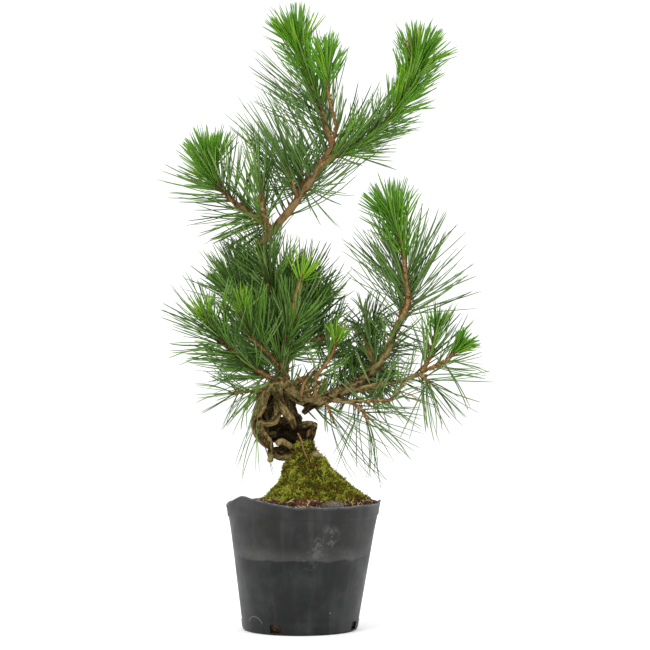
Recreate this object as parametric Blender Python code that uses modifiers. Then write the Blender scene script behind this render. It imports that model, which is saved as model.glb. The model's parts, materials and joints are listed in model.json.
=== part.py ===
"""A potted Japanese black pine that stands on its own bared roots.

The tree is a trunk that leans left and then right, boughs that leave it, and masses of needles on
the boughs' ends. It grows out of a mound of moss in a soft, dark plastic nursery pot. Every limb is
a chain of spans, each a reach with a bow at its middle. Every mass grows by one rule: side twigs
leave the stem a golden angle apart, and needles stand round stem and twigs a golden angle apart.

Sizes in this file are in millimetres and become metres when a mesh is made. X is to the right of
the front view, Y away from it and Z up, from the centre of the pot's foot.
"""

import math
import random
from dataclasses import dataclass

import bmesh
import bpy
import numpy as np
from mathutils import Matrix, Vector

MM = 0.001
GAP = 0.3
GOLDEN_ANGLE = math.pi * (3.0 - math.sqrt(5.0))

# Pot: a tapering wall of soft plastic, with a band at its foot and a collar at its rim.
POT_FOOT_RADIUS = 57.0
POT_COLLAR_RADIUS = 74.0
POT_RIM_RADIUS = 76.0
POT_COLLAR_HEIGHT = 114.0
POT_RIM_HEIGHT = 126.5
POT_WALL = 1.3
POT_FOOT_ROUNDING = 1.4
POT_BAND_HEIGHT = 10.5
POT_BAND_STEP = 0.5
POT_COLLAR_STEP = 0.9
POT_LEAN = 3.5
POT_STEPS = 40
POT_COLOUR = (0.045, 0.047, 0.050)

# The rim is out of shape: swells are (angle round the pot, half width, rise, push inwards).
RIM_SWELLS = (
    (-147.0, 30.0, 8.5, 5.0),
    (-120.0, 26.0, 5.0, 0.0),
    (-178.0, 22.0, -2.5, -1.5),
    (-2.0, 10.0, 2.5, -1.6),
    (95.0, 60.0, -1.5, 2.0),
)
RIM_SWELL_START = 92.0

# Drain windows: four slots just above the floor.
DRAIN_COUNT = 4
DRAIN_FIRST_ANGLE = -113.8
DRAIN_WIDTH = 11.5
DRAIN_BOTTOM = 2.3
DRAIN_TOP = 10.2
DRAIN_DEPTH = 9.0

SOIL_TOP = 121.5
SOIL_COLOUR = (0.16, 0.075, 0.045)

# Moss mound: rings of (height, centre X, radius) from the soil up round the root column.
MOUND_RINGS = (
    (SOIL_TOP + GAP, 12.0, 59.0),
    (126.0, 13.0, 57.0),
    (132.0, 13.5, 47.5),
    (141.0, 14.5, 36.5),
    (150.0, 13.0, 28.5),
    (160.0, 8.0, 22.5),
    (168.0, 6.5, 17.8),
    (174.0, 4.5, 13.0),
    (180.0, 4.0, 10.0),
    (186.0, 5.0, 7.6),
)
MOUND_STEPS = 22
MOUND_LUMP = 0.07
MOSS_COLOUR = (0.13, 0.17, 0.012)

# Limbs: sides of a tube and the spacing of its rings.
LIMB_SIDES = 8
ROOT_SIDES = 6
STEM_SIDES = 4
TWIG_SIDES = 3
LIMB_RING_SPACING = 11.0
ROOT_RING_SPACING = 9.5
STEM_RING_SPACING = 14.0
BARK_COLOUR = (0.20, 0.135, 0.075)

# Needles: slender spikes, wider than life so that the crown keeps its weight.
NEEDLE_RADIUS = 1.2
NEEDLE_SINK = 0.6
NEEDLE_CLEARANCE = 0.7
NEEDLE_PULL = 0.75
NEEDLE_SCATTER = math.radians(7.0)
NEEDLE_LENGTHS = (0.88, 1.06)
NEEDLE_CHECKS = (0.4, 0.7, 0.85, 1.0)
MOUND_ROOM = 1.1
MOUND_MARGIN = 2.0
POT_MARGIN = 10.0
INTERLOCK = 14.0

# No needle's tip ends before or behind the roots, between these corners in X and Z.
BARE_LOW = (-46.0, 190.0)
BARE_HIGH = (14.0, 238.0)

# Side twigs: where the first one leaves, how far on the next one does, their lengths as shares of
# the stem's, how they sag before they rise, and the share of the last spray's needles they carry.
TWIG_FIRST = 0.45
TWIG_STEP = 0.22
TWIG_LENGTHS = (0.32, 0.42)
TWIG_SAG = 0.12
TWIG_SPREAD = math.radians(48.0)
TWIG_SHARE = 0.4
TWIG_BARE = 0.3
TWIG_PITCHES = (56.0, 20.0)

NEW_GREEN = (0.10, 0.30, 0.03)
OLD_GREEN = (0.05, 0.15, 0.035)


def vector(values):
    """A numpy vector of three lengths."""
    return np.array(values, dtype=float)


def unit(direction):
    """The direction with length one."""
    return direction / np.linalg.norm(direction)


@dataclass(frozen=True)
class Span:
    """One stretch of a limb: where its end lies from its start, and how its middle bows."""

    reach: tuple
    bow: tuple = (0.0, 0.0, 0.0)


class Limb:
    """A chain of spans with a radius at each joint, placed by how far along it a point lies."""

    SAMPLES = 24

    def __init__(self, foot, spans, radii):
        points = [vector(foot)]
        widths = [radii[0]]
        for span, thick, thin in zip(spans, radii, radii[1:]):
            start = points[-1]
            for step in range(1, self.SAMPLES + 1):
                share = step / self.SAMPLES
                bow = vector(span.bow) * 4.0 * share * (1.0 - share)
                points.append(start + vector(span.reach) * share + bow)
                widths.append(thick + (thin - thick) * share)
        self.points = np.array(points)
        self.widths = np.array(widths)
        steps = np.linalg.norm(np.diff(self.points, axis=0), axis=1)
        self.places = np.concatenate([[0.0], np.cumsum(steps)])
        self.length = self.places[-1]

    def point(self, share):
        """The point that lies this share of the way along."""
        place = share * self.length
        return vector([np.interp(place, self.places, self.points[:, axis]) for axis in range(3)])

    def heading(self, share):
        """The way the limb runs there."""
        near, far = max(0.0, share - 0.02), min(1.0, share + 0.02)
        return unit(self.point(far) - self.point(near))

    def radius(self, share):
        """The limb's radius there."""
        return float(np.interp(share * self.length, self.places, self.widths))

    def rings(self, spacing):
        """Evenly spaced points and radii along the limb, for a tube."""
        count = max(3, round(self.length / spacing) + 1)
        shares = np.linspace(0.0, 1.0, count)
        return [self.point(share) for share in shares], [self.radius(share) for share in shares]


# The trunk: column through the moss, slim waist behind the roots, leaning bole and leader.
TRUNK = Limb(
    foot=(5.0, 0.0, SOIL_TOP + GAP),
    spans=(
        Span((-1.0, 0.0, 57.7)),
        Span((-8.0, 2.0, 24.0)),
        Span((-7.0, 1.0, 22.0)),
        Span((-7.0, -3.0, 24.0), (0.0, 1.0, 0.0)),
        Span((-22.0, 0.0, 135.0), (5.0, 4.0, 0.0)),
        Span((73.0, 5.0, 97.5), (2.0, 0.0, -2.0)),
    ),
    radii=(8.0, 8.0, 6.2, 5.4, 7.6, 4.5, 3.2),
)

# Bared roots, joined to the trunk: they leave its base and reach down to the moss or hang free.
ROOTS = (
    Limb((-22.0, -4.0, 244.0), (
        Span((-17.0, -4.0, -20.0), (-4.0, 0.0, 3.0)),
        Span((-4.0, 1.0, -20.0), (-2.0, 0.0, 0.0)),
        Span((14.0, 2.0, -22.0), (-3.0, 0.0, -2.0))), (7.0, 5.6, 5.2, 3.0)),
    Limb((-25.0, -6.0, 240.0), (
        Span((3.0, -4.0, -22.0), (2.0, -3.0, 0.0)),
        Span((-18.0, -2.0, -11.0), (4.0, -1.0, -5.0)),
        Span((9.0, 0.0, -20.0), (-3.0, 0.0, 1.0)),
        Span((1.0, 0.0, -19.0), (2.0, 0.0, 0.0))), (4.6, 4.2, 4.0, 4.2, 2.6)),
    Limb((-23.0, -4.0, 242.0), (
        Span((10.0, -5.0, -28.0), (-2.0, -5.0, 0.0)),
        Span((7.0, 3.0, -16.0), (2.0, 0.0, 0.0))), (5.4, 4.2, 3.4)),
    Limb((-16.0, 3.0, 243.0), (
        Span((7.0, 2.0, -24.0), (3.0, 0.0, 0.0)),
        Span((4.0, -2.0, -24.0))), (4.6, 4.0, 4.4)),
    Limb((-29.0, -11.0, 178.0), (
        Span((9.0, 2.0, -6.0), (0.0, 0.0, -1.5)),
        Span((16.0, 7.0, 3.0), (0.0, 0.0, -1.0))), (3.2, 3.4, 3.4)),
    Limb((-23.0, -9.0, 185.0), (
        Span((8.0, 0.0, 2.0), (0.0, 0.0, 2.0)),
        Span((12.0, 6.0, -8.0))), (3.2, 3.4, 3.4)),
    Limb((-22.0, 5.0, 242.0), (
        Span((-10.0, 11.0, -24.0), (-4.0, 3.0, 0.0)),
        Span((16.0, -4.0, -36.0), (-5.0, 4.0, 0.0))), (6.0, 4.8, 4.0)),
    Limb((-12.0, 6.0, 246.0), (
        Span((4.0, 12.0, -24.0), (2.0, 3.0, 0.0)),
        Span((2.0, -8.0, -34.0), (3.0, 3.0, 0.0))), (5.0, 4.4, 4.0)),
)

# The rotten stump that the roots clasp: a bent arm to the right, and dark wood behind the roots.
STUMP = (
    Limb((-6.0, -1.0, 200.0), (
        Span((19.5, -3.0, 3.0), (0.0, 0.0, 1.0)),
        Span((-6.5, 0.5, -19.0), (2.0, 0.0, 0.0))), (4.4, 4.0, 2.8)),
    Limb((0.0, 4.0, 205.0), (
        Span((-32.0, 3.0, -5.0), (0.0, 2.0, 2.0)),), (9.0, 5.0)),
    Limb((-15.0, 7.0, 236.0), (
        Span((-13.0, 2.0, -22.0)),
        Span((3.0, -1.0, -18.0))), (7.0, 7.5, 6.0)),
    Limb((0.0, 4.0, 191.0), (
        Span((-33.0, 2.0, 0.0), (0.0, 0.0, 1.0)),), (7.5, 6.0)),
    Limb((0.0, 3.0, 199.0), (
        Span((10.0, -3.5, -7.0)),), (7.5, 6.5)),
    Limb((-26.0, 7.0, 236.0), (
        Span((-10.0, -2.0, -22.0)),
        Span((0.0, 0.0, -22.0))), (5.0, 5.5, 5.5)),
    Limb((4.0, 4.0, 180.0), (
        Span((-31.0, -1.0, -3.0), (0.0, 0.0, -1.0)),), (7.0, 5.0)),
)

# A nub that stands out of the moss, and the broken stub under the elbow of the right bough.
NUB = Limb((10.0, -5.0, 171.0), (Span((8.5, -3.0, 4.0)),), (4.6, 4.2))
BROKEN_STUB = Limb((13.0, -7.0, 223.0), (Span((-10.0, -2.0, -8.0), (0.0, 0.0, 1.0)),), (4.4, 2.8))


@dataclass(frozen=True)
class Bough:
    """A limb that leaves another one, with a plain name."""

    name: str
    parent: str
    share: float
    spans: tuple
    radii: tuple


BOUGHS = (
    Bough("left_bough", "trunk", 0.735, (Span((-38.0, 8.0, 28.0)),), (3.4, 2.9)),
    Bough("right_bough", "trunk", 0.318, (
        Span((30.0, -8.0, -17.0), (0.0, 0.0, -3.0)),
        Span((51.0, 4.0, 24.0), (0.0, 0.0, -1.0))), (6.8, 6.0, 4.4)),
    Bough("right_rise_bough", "right_bough", 1.0, (
        Span((35.0, 9.0, 58.0), (3.0, 0.0, -3.0)),), (4.2, 3.2)),
    Bough("right_level_bough", "right_bough", 0.62, (
        Span((42.0, -9.0, 9.0), (0.0, 0.0, -1.0)),
        Span((52.0, -12.5, 16.5), (0.0, 0.0, -2.5))), (3.2, 2.8, 2.4)),
    Bough("low_right_bough", "right_bough", 0.54, (
        Span((40.0, -16.0, -3.0), (0.0, 0.0, -2.0)),), (2.2, 1.8)),
)


@dataclass(frozen=True)
class Spray:
    """Needles round a stretch of a stem: the stretch, their number, length, pitch and pull.

    The pitch is off the stem's way, at the start of the stretch and at its end. The pull bends
    every needle one way. A crowding under one gathers them at the end.
    """

    start: float
    end: float
    count: int
    length: float
    pitch_low: float
    pitch_tip: float
    pull: tuple = (0.0, 0.0, 0.2)
    crowding: float = 1.0


@dataclass(frozen=True)
class Mass:
    """A mass of foliage: the stem, how many side twigs it has, its needles, and how far they reach
    in among those of other masses."""

    name: str
    parent: str
    share: float
    spans: tuple
    sprays: tuple
    twigs: int = 0
    radius: float = 2.7
    seed: int = 1
    interlock: float = INTERLOCK


UPWARD = (0.0, 0.0, 0.35)
LEFT_UPWARD = (-0.25, 0.0, 0.3)
RIGHT_UPWARD = (0.15, 0.0, 0.35)
SLIGHT = (0.1, 0.0, 0.05)


def new_tuft(count, start=0.5, length=42.0, spread=46.0):
    """This year's needles: along the last stretch of a shoot, and opening wide at its tip."""
    along = round(count * 0.42)
    return (Spray(start, 0.95, along, length, 38.0, 32.0, (0.0, 0.0, 0.12), 0.8),
            Spray(0.96, 1.0, count - along, length, spread, 16.0, (0.0, 0.0, 0.0)))


def old_whorl(count, start, end, length, low=60.0, tip=34.0, pull=UPWARD):
    """Older needles: long, round the wood below the tuft."""
    return Spray(start, end, count, length, low, tip, pull)


MASSES = (
    Mass("top_left_foliage", "trunk", 1.0, (Span((-16.0, 10.0, 50.0)), Span((-20.0, 7.0, 54.0))),
         (old_whorl(18, 0.02, 0.44, 90.0, 58.0, 44.0, LEFT_UPWARD), *new_tuft(30, 0.48, 45.0, 54.0)), seed=3),
    Mass("top_middle_foliage", "trunk", 0.995, (
        Span((4.0, -12.0, 22.0)), Span((-7.0, -6.0, 28.0)), Span((-2.0, -4.0, 30.0))),
         (old_whorl(4, 0.1, 0.5, 44.0, 40.0, 30.0), *new_tuft(15, 0.70, 38.0, 38.0)), 0, 1.8, 5),
    Mass("top_right_foliage", "trunk", 0.97, (
        Span((55.0, 4.0, 31.0), (0.0, 0.0, -6.0)), Span((36.0, 3.0, 64.0), (5.0, 0.0, -4.0))),
         (old_whorl(18, 0.06, 0.40, 58.0, 46.0, 40.0, RIGHT_UPWARD), *new_tuft(32, 0.56, 44.0, 60.0)), seed=7),
    Mass("leader_left_foliage", "trunk", 0.84, (Span((-10.0, -12.0, 28.0)),),
         (old_whorl(22, 0.2, 1.0, 90.0, 52.0, 18.0, LEFT_UPWARD),), seed=11),
    Mass("leader_right_foliage", "trunk", 0.94, (Span((24.0, -10.0, 20.0), (0.0, 0.0, -2.0)),),
         (old_whorl(17, 0.15, 1.0, 56.0, 52.0, 24.0, RIGHT_UPWARD),), seed=13),
    Mass("leader_back_foliage", "trunk", 0.87, (Span((-8.0, 46.0, 30.0), (0.0, 4.0, -4.0)),),
         (old_whorl(17, 0.2, 0.7, 78.0), *new_tuft(11, 0.7, 36.0)), 1, seed=17),
    Mass("left_foliage", "left_bough", 1.0, (
        Span((-15.0, 4.0, 16.0)), Span((-9.0, 0.0, 17.0), (-2.0, 0.0, 0.0))),
         (old_whorl(14, 0.02, 0.5, 66.0, 62.0, 46.0, (0.0, 0.0, 0.15)), *new_tuft(26, 0.38, 47.0, 48.0)),
         seed=19),
    Mass("inner_left_foliage", "trunk", 0.728, (Span((-7.0, -18.0, 20.0)), Span((-3.0, -3.0, 32.0))),
         (old_whorl(26, 0.15, 1.0, 60.0, 54.0, 12.0),), seed=23),
    Mass("right_top_foliage", "right_rise_bough", 1.0, (
        Span((6.0, -1.0, 36.0), (5.0, 0.0, 0.0)), Span((-12.0, -4.0, 66.0), (3.0, 0.0, 0.0))),
         (old_whorl(24, 0.02, 0.46, 84.0, 66.0, 36.0), *new_tuft(28, 0.56, 46.0, 56.0)), seed=29),
    Mass("right_end_foliage", "right_level_bough", 1.0, (Span((18.0, -2.0, 9.0)), Span((11.0, -2.0, 12.0))),
         (old_whorl(12, 0.1, 0.6, 54.0, 70.0, 44.0, SLIGHT), *new_tuft(13, 0.66, 26.0)), seed=31),
    Mass("right_middle_foliage", "right_level_bough", 0.93, (
        Span((10.0, 8.0, 20.0)), Span((5.0, 2.0, 26.0))),
         (old_whorl(13, 0.1, 0.8, 46.0, 50.0, 26.0), *new_tuft(7, 0.85, 22.0)), 0, 2.3, 37),
    Mass("right_hanging_foliage", "right_level_bough", 0.9, (Span((9.0, -9.0, -9.0)),),
         (old_whorl(10, 0.2, 1.0, 66.0, 76.0, 24.0, (0.1, 0.0, -0.35)),), 0, 2.2, 41, 30.0),
    Mass("right_inner_foliage", "right_bough", 0.44, (
        Span((-2.0, -4.0, 26.0), (-2.0, 0.0, 0.0)), Span((20.0, -4.0, 36.0), (4.0, 0.0, 0.0))),
         (old_whorl(15, 0.35, 0.85, 42.0, 62.0, 34.0), *new_tuft(7, 0.86, 24.0, 50.0)), 0, 1.9, 43),
    Mass("right_back_foliage", "right_rise_bough", 0.2, (
        Span((-6.0, 28.0, 26.0)), Span((-10.0, 20.0, 16.0))),
         (old_whorl(24, 0.1, 1.0, 56.0, 70.0, 40.0),), 1, seed=47),
    Mass("right_back_low_foliage", "right_bough", 0.8, (
        Span((14.0, 44.0, 12.0), (0.0, 0.0, -4.0)), Span((12.0, 14.0, 16.0))),
         (old_whorl(24, 0.15, 1.0, 52.0, 74.0, 40.0),), 1, seed=53),
    Mass("low_right_foliage", "low_right_bough", 1.0, (Span((23.0, -6.0, 1.0)), Span((12.0, -4.0, 15.0))),
         (old_whorl(15, 0.05, 0.95, 52.0, 74.0, 40.0, (0.05, 0.0, -0.05)),), 1, 1.8, 59),
    Mass("low_hanging_foliage", "low_right_bough", 0.55, (Span((18.0, -5.0, -17.0), (2.0, 0.0, 2.0)),),
         (old_whorl(10, 0.3, 1.0, 74.0, 72.0, 26.0, (0.1, 0.0, -0.5)),), 0, 1.7, 61, 40.0),
    Mass("elbow_hanging_foliage", "right_bough", 0.52, (Span((6.0, -8.0, -18.0)),),
         (old_whorl(10, 0.5, 1.0, 94.0, 58.0, 20.0, (0.55, 0.0, -0.2)),), 0, 1.5, 67, 60.0),
    Mass("front_left_foliage", "trunk", 0.36, (
        Span((-30.0, -32.0, 31.0), (0.0, 0.0, 2.0)), Span((-8.0, -10.0, 29.0), (-2.0, 0.0, 0.0))),
         (old_whorl(30, 0.12, 0.72, 68.0, 62.0, 36.0), *new_tuft(10, 0.92, 29.0, 50.0)), 1, seed=71),
    Mass("outer_left_foliage", "trunk", 0.325, (
        Span((-40.0, -30.0, 24.0), (0.0, 0.0, -2.0)), Span((-36.0, -20.0, 44.0), (-2.0, 0.0, -2.0))),
         (old_whorl(30, 0.15, 0.84, 64.0, 60.0, 34.0, (-0.05, 0.0, 0.25)), *new_tuft(11, 0.92, 30.0, 50.0)),
         1, seed=73),
    Mass("back_left_foliage", "trunk", 0.42, (Span((-30.0, 24.0, 34.0)), Span((-22.0, 16.0, 26.0))),
         (old_whorl(22, 0.3, 0.85, 68.0), *new_tuft(14, 0.85, 34.0)), 1, seed=79),
    Mass("front_foliage", "trunk", 0.375, (
        Span((12.0, -22.0, 42.0), (-3.0, 0.0, 0.0)), Span((9.0, -7.0, 42.0), (-3.0, 0.0, 0.0))),
         (old_whorl(28, 0.1, 0.52, 62.0, 60.0, 34.0), *new_tuft(12, 0.92, 34.0, 50.0)), seed=83),
    Mass("low_left_foliage", "trunk", 0.34, (Span((-20.0, -12.0, -12.0)), Span((-30.0, -6.0, -3.0))),
         (old_whorl(16, 0.35, 1.0, 48.0, 70.0, 24.0, (-0.15, 0.0, -0.1)),), 0, 2.0, 89),
    Mass("back_foliage", "trunk", 0.44, (Span((4.0, 31.0, 25.0)), Span((-2.0, 25.0, 27.0))),
         (old_whorl(22, 0.3, 0.85, 70.0), *new_tuft(13, 0.85, 34.0)), 1, seed=97),
    Mass("back_right_foliage", "trunk", 0.38, (Span((22.0, 28.0, 26.0)), Span((14.0, 22.0, 34.0))),
         (old_whorl(21, 0.3, 0.85, 64.0), *new_tuft(12, 0.85, 32.0)), 1, seed=101),
    Mass("back_low_foliage", "trunk", 0.33, (Span((-24.0, 36.0, 6.0)), Span((-14.0, 20.0, 12.0))),
         (old_whorl(18, 0.35, 0.9, 57.0, 72.0, 36.0), *new_tuft(9, 0.9, 28.0)), 1, seed=103),
)


# Scene and object helpers.

def clear_scene():
    """Remove whatever the scene holds."""
    for thing in list(bpy.data.objects):
        bpy.data.objects.remove(thing, do_unlink=True)


def make_collection(name):
    """A new collection under the scene."""
    collection = bpy.data.collections.new(name)
    bpy.context.scene.collection.children.link(collection)
    return collection


def make_material(name, colour, roughness):
    """A plain material of one colour."""
    material = bpy.data.materials.new(name)
    material.use_nodes = True
    shader = material.node_tree.nodes["Principled BSDF"]
    shader.inputs["Base Color"].default_value = (*colour, 1.0)
    shader.inputs["Roughness"].default_value = roughness
    shader.inputs["Metallic"].default_value = 0.0
    material.diffuse_color = (*colour, 1.0)
    return material


def new_object(name, mesh, collection):
    """An object for the mesh, in the collection."""
    thing = bpy.data.objects.new(name, mesh)
    collection.objects.link(thing)
    return thing


def evaluated_copy(thing):
    """The object's mesh as its modifiers leave it."""
    graph = bpy.context.evaluated_depsgraph_get()
    graph.update()
    return bpy.data.meshes.new_from_object(thing.evaluated_get(graph))


def freeze(thing):
    """Put the evaluated mesh in the object and drop its modifiers."""
    mesh = evaluated_copy(thing)
    thing.modifiers.clear()
    thing.data = mesh


def as_cutter(thing):
    """Mark an object as a cutter, which isn't part of the model."""
    thing.hide_render = True
    thing.display_type = "WIRE"
    return thing


def tube(name, points, radii, sides, collection):
    """A closed tube of the given number of sides, made from a curve with a bevel outline.

    Args:
        name: The object's name.
        points: The centre line, in millimetres.
        radii: The radius at each point, in millimetres.
        sides: The number of sides of the outline.
        collection: Where the object goes.

    Returns:
        The mesh object of the tube.
    """
    outline = bpy.data.curves.new(name + "_outline", "CURVE")
    outline.dimensions = "2D"
    ring = outline.splines.new("POLY")
    ring.points.add(sides - 1)
    for index, corner in enumerate(ring.points):
        angle = 2.0 * math.pi * index / sides
        corner.co = (MM * math.cos(angle), MM * math.sin(angle), 0.0, 1.0)
    ring.use_cyclic_u = True
    outline_object = new_object(name + "_outline", outline, collection)

    curve = bpy.data.curves.new(name + "_line", "CURVE")
    curve.dimensions = "3D"
    curve.bevel_mode = "OBJECT"
    curve.bevel_object = outline_object
    curve.use_fill_caps = True
    line = curve.splines.new("POLY")
    line.points.add(len(points) - 1)
    for corner, point, radius in zip(line.points, points, radii):
        corner.co = (*(point * MM), 1.0)
        corner.radius = radius
    curve_object = new_object(name + "_line", curve, collection)

    mesh = evaluated_copy(curve_object)
    weld = bmesh.new()
    weld.from_mesh(mesh)
    bmesh.ops.remove_doubles(weld, verts=weld.verts, dist=0.00001)
    bmesh.ops.recalc_face_normals(weld, faces=weld.faces)
    weld.to_mesh(mesh)
    weld.free()
    bpy.data.objects.remove(curve_object, do_unlink=True)
    bpy.data.objects.remove(outline_object, do_unlink=True)
    mesh.name = name
    return new_object(name, mesh, collection)


def limb_tube(name, limb, sides, collection, spacing=LIMB_RING_SPACING, grow=0.0):
    """A tube along a limb, or a clearance shape that is wider all round by the given growth."""
    points, radii = limb.rings(spacing)
    points[-1] = points[-1] + limb.heading(1.0) * grow
    points[0] = points[0] - limb.heading(0.0) * grow
    return tube(name, points, [radius + grow for radius in radii], sides, collection)


def spike(name, root, tip, collection):
    """A needle: a slender three-sided cone from its root to its tip."""
    mesh = bpy.data.meshes.new(name)
    along = Vector((tip - root) * MM)
    turn = along.to_track_quat("Z", "Y").to_matrix().to_4x4()
    place = Matrix.Translation(Vector(root * MM) + along / 2.0) @ turn
    cone = bmesh.new()
    bmesh.ops.create_cone(cone, cap_ends=True, segments=3, radius1=NEEDLE_RADIUS * MM, radius2=0.0,
                          depth=along.length, matrix=place)
    cone.to_mesh(mesh)
    cone.free()
    return new_object(name, mesh, collection)


def is_closed(mesh):
    """Whether every edge of a mesh lies between two faces."""
    work = bmesh.new()
    work.from_mesh(mesh)
    closed = all(edge.is_manifold for edge in work.edges)
    work.free()
    return closed


def combine(thing, other, operation):
    """Union the object with, or cut it by, every object of a collection, and keep the outer skin."""
    start = thing.data
    for solver in ("EXACT", "MANIFOLD"):
        thing.data = start
        modifier = thing.modifiers.new("combine", "BOOLEAN")
        modifier.operation = operation
        modifier.operand_type = "COLLECTION"
        modifier.collection = other
        modifier.solver = solver
        freeze(thing)
        keep_outer_skin(thing.data)
        if is_closed(thing.data):
            return


def empty_collection(collection):
    """Remove the objects of a collection, and the collection."""
    for thing in list(collection.objects):
        bpy.data.objects.remove(thing, do_unlink=True)
    bpy.data.collections.remove(collection)


def keep_outer_skin(mesh):
    """Drop sealed hollows and loose scraps, so that one closed body is left."""
    work = bmesh.new()
    work.from_mesh(mesh)
    bmesh.ops.triangulate(work, faces=work.faces)
    skins = []
    unseen = set(work.faces)
    while unseen:
        skin = [unseen.pop()]
        for face in skin:
            for edge in face.edges:
                for neighbour in edge.link_faces:
                    if neighbour in unseen:
                        unseen.remove(neighbour)
                        skin.append(neighbour)
        skins.append(skin)
    skins.sort(key=len)
    scraps = [face for skin in skins[:-1] for face in skin]
    bmesh.ops.delete(work, geom=scraps, context="FACES")
    work.to_mesh(mesh)
    work.free()


# Pot, soil and moss.

def rim_shape(angle, height):
    """How far the soft wall is raised and pushed in at an angle round the pot."""
    share = max(0.0, (height - RIM_SWELL_START) / (POT_RIM_HEIGHT - RIM_SWELL_START))
    rise = 0.0
    push = 0.0
    for centre, half_width, swell_rise, swell_push in RIM_SWELLS:
        turn = (math.degrees(angle) - centre + 180.0) % 360.0 - 180.0
        if abs(turn) < half_width:
            swell = 0.5 + 0.5 * math.cos(math.pi * turn / half_width)
            rise += swell_rise * swell
            push += swell_push * swell
    return rise * share ** 2, push * share ** 2


def shape_wall(mesh):
    """Lean the pot and put its rim out of shape."""
    for corner in mesh.vertices:
        x, y, z = (value / MM for value in corner.co)
        angle = math.atan2(y, x)
        rise, push = rim_shape(angle, z)
        radius = math.hypot(x, y)
        scale = (radius - push) / radius if radius > 1.0 else 1.0
        lean = POT_LEAN * z / POT_RIM_HEIGHT
        corner.co = (MM * (x * scale + lean), MM * y * scale, MM * (z + rise))


def turned(name, profile, collection, steps=POT_STEPS):
    """Turn a profile of (radius, height) points about the upright axis."""
    mesh = bpy.data.meshes.new(name)
    line = bmesh.new()
    corners = [line.verts.new((radius * MM, 0.0, height * MM)) for radius, height in profile]
    for first, second in zip(corners, corners[1:]):
        line.edges.new((first, second))
    line.to_mesh(mesh)
    line.free()
    thing = new_object(name, mesh, collection)
    screw = thing.modifiers.new("turn", "SCREW")
    screw.axis = "Z"
    screw.steps = steps
    screw.render_steps = steps
    screw.use_merge_vertices = True
    screw.merge_threshold = 0.00001
    freeze(thing)
    return thing


def wall_radius(height):
    """Outer radius of the plain wall at a height."""
    return POT_FOOT_RADIUS + (POT_COLLAR_RADIUS - POT_FOOT_RADIUS) * height / POT_COLLAR_HEIGHT


def make_pot(parts, cutters):
    """The soft plastic pot, with its drain windows."""
    profile = [
        (POT_RIM_RADIUS, POT_RIM_HEIGHT),
        (POT_RIM_RADIUS - 0.9, POT_RIM_HEIGHT - 6.0),
        (wall_radius(POT_COLLAR_HEIGHT) + POT_COLLAR_STEP, POT_COLLAR_HEIGHT + 0.6),
        (wall_radius(POT_COLLAR_HEIGHT), POT_COLLAR_HEIGHT - 0.6),
        (wall_radius(92.0), 92.0),
        (wall_radius(52.0), 52.0),
        (wall_radius(POT_BAND_HEIGHT + 0.5) + POT_BAND_STEP, POT_BAND_HEIGHT + 0.5),
        (wall_radius(POT_BAND_HEIGHT), POT_BAND_HEIGHT),
        (POT_FOOT_RADIUS, POT_FOOT_ROUNDING),
        (POT_FOOT_RADIUS - POT_FOOT_ROUNDING, 0.0),
        (0.0, 0.0),
    ]
    pot = turned("pot", profile, parts)
    shape_wall(pot.data)
    shell = pot.modifiers.new("wall", "SOLIDIFY")
    shell.thickness = POT_WALL * MM
    shell.offset = -1.0
    shell.use_even_offset = True
    freeze(pot)
    windows = bpy.data.collections.new("drain_windows")
    cutters.children.link(windows)
    for index in range(DRAIN_COUNT):
        angle = math.radians(DRAIN_FIRST_ANGLE + index * 360.0 / DRAIN_COUNT)
        mesh = bpy.data.meshes.new("drain_window")
        box = bmesh.new()
        turn = Matrix.Rotation(angle, 4, "Z")
        middle = Vector((POT_FOOT_RADIUS, 0.0, (DRAIN_BOTTOM + DRAIN_TOP) / 2.0)) * MM
        sides = Vector((DRAIN_DEPTH, DRAIN_WIDTH, DRAIN_TOP - DRAIN_BOTTOM)) * MM
        place = turn @ Matrix.Translation(middle) @ Matrix.Diagonal(sides).to_4x4()
        bmesh.ops.create_cube(box, size=1.0, matrix=place)
        box.to_mesh(mesh)
        box.free()
        as_cutter(new_object(f"drain_window_{index + 1}", mesh, windows))
    combine(pot, windows, "DIFFERENCE")
    pot.data.materials.append(make_material("dark_pot_plastic", POT_COLOUR, 0.45))
    return pot


def make_soil(parts):
    """The soil that fills the pot, a hair clear of its wall."""
    inset = POT_WALL + GAP + 0.15
    profile = [
        (0.0, SOIL_TOP),
        (wall_radius(POT_COLLAR_HEIGHT) - inset, SOIL_TOP),
        (wall_radius(POT_COLLAR_HEIGHT) - inset, POT_COLLAR_HEIGHT - 1.0),
        (wall_radius(92.0) - inset, 92.0),
        (wall_radius(52.0) - inset, 52.0),
        (POT_FOOT_RADIUS - inset, POT_FOOT_ROUNDING + 1.0),
        (POT_FOOT_RADIUS - inset - POT_FOOT_ROUNDING, POT_WALL + GAP),
        (0.0, POT_WALL + GAP),
    ]
    soil = turned("soil", profile, parts)
    shape_wall(soil.data)
    for corner in soil.data.vertices:
        if corner.co.z > (SOIL_TOP - 1.0) * MM:
            corner.co.z = SOIL_TOP * MM
    soil.data.materials.append(make_material("potting_soil", SOIL_COLOUR, 0.95))
    return soil


def mound_reach(height):
    """Centre X and radius of the moss mound at a height."""
    heights = [ring[0] for ring in MOUND_RINGS]
    centre = float(np.interp(height, heights, [ring[1] for ring in MOUND_RINGS]))
    radius = float(np.interp(height, heights, [ring[2] for ring in MOUND_RINGS]))
    return centre, radius if height < heights[-1] + 2.0 else 0.0


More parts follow.
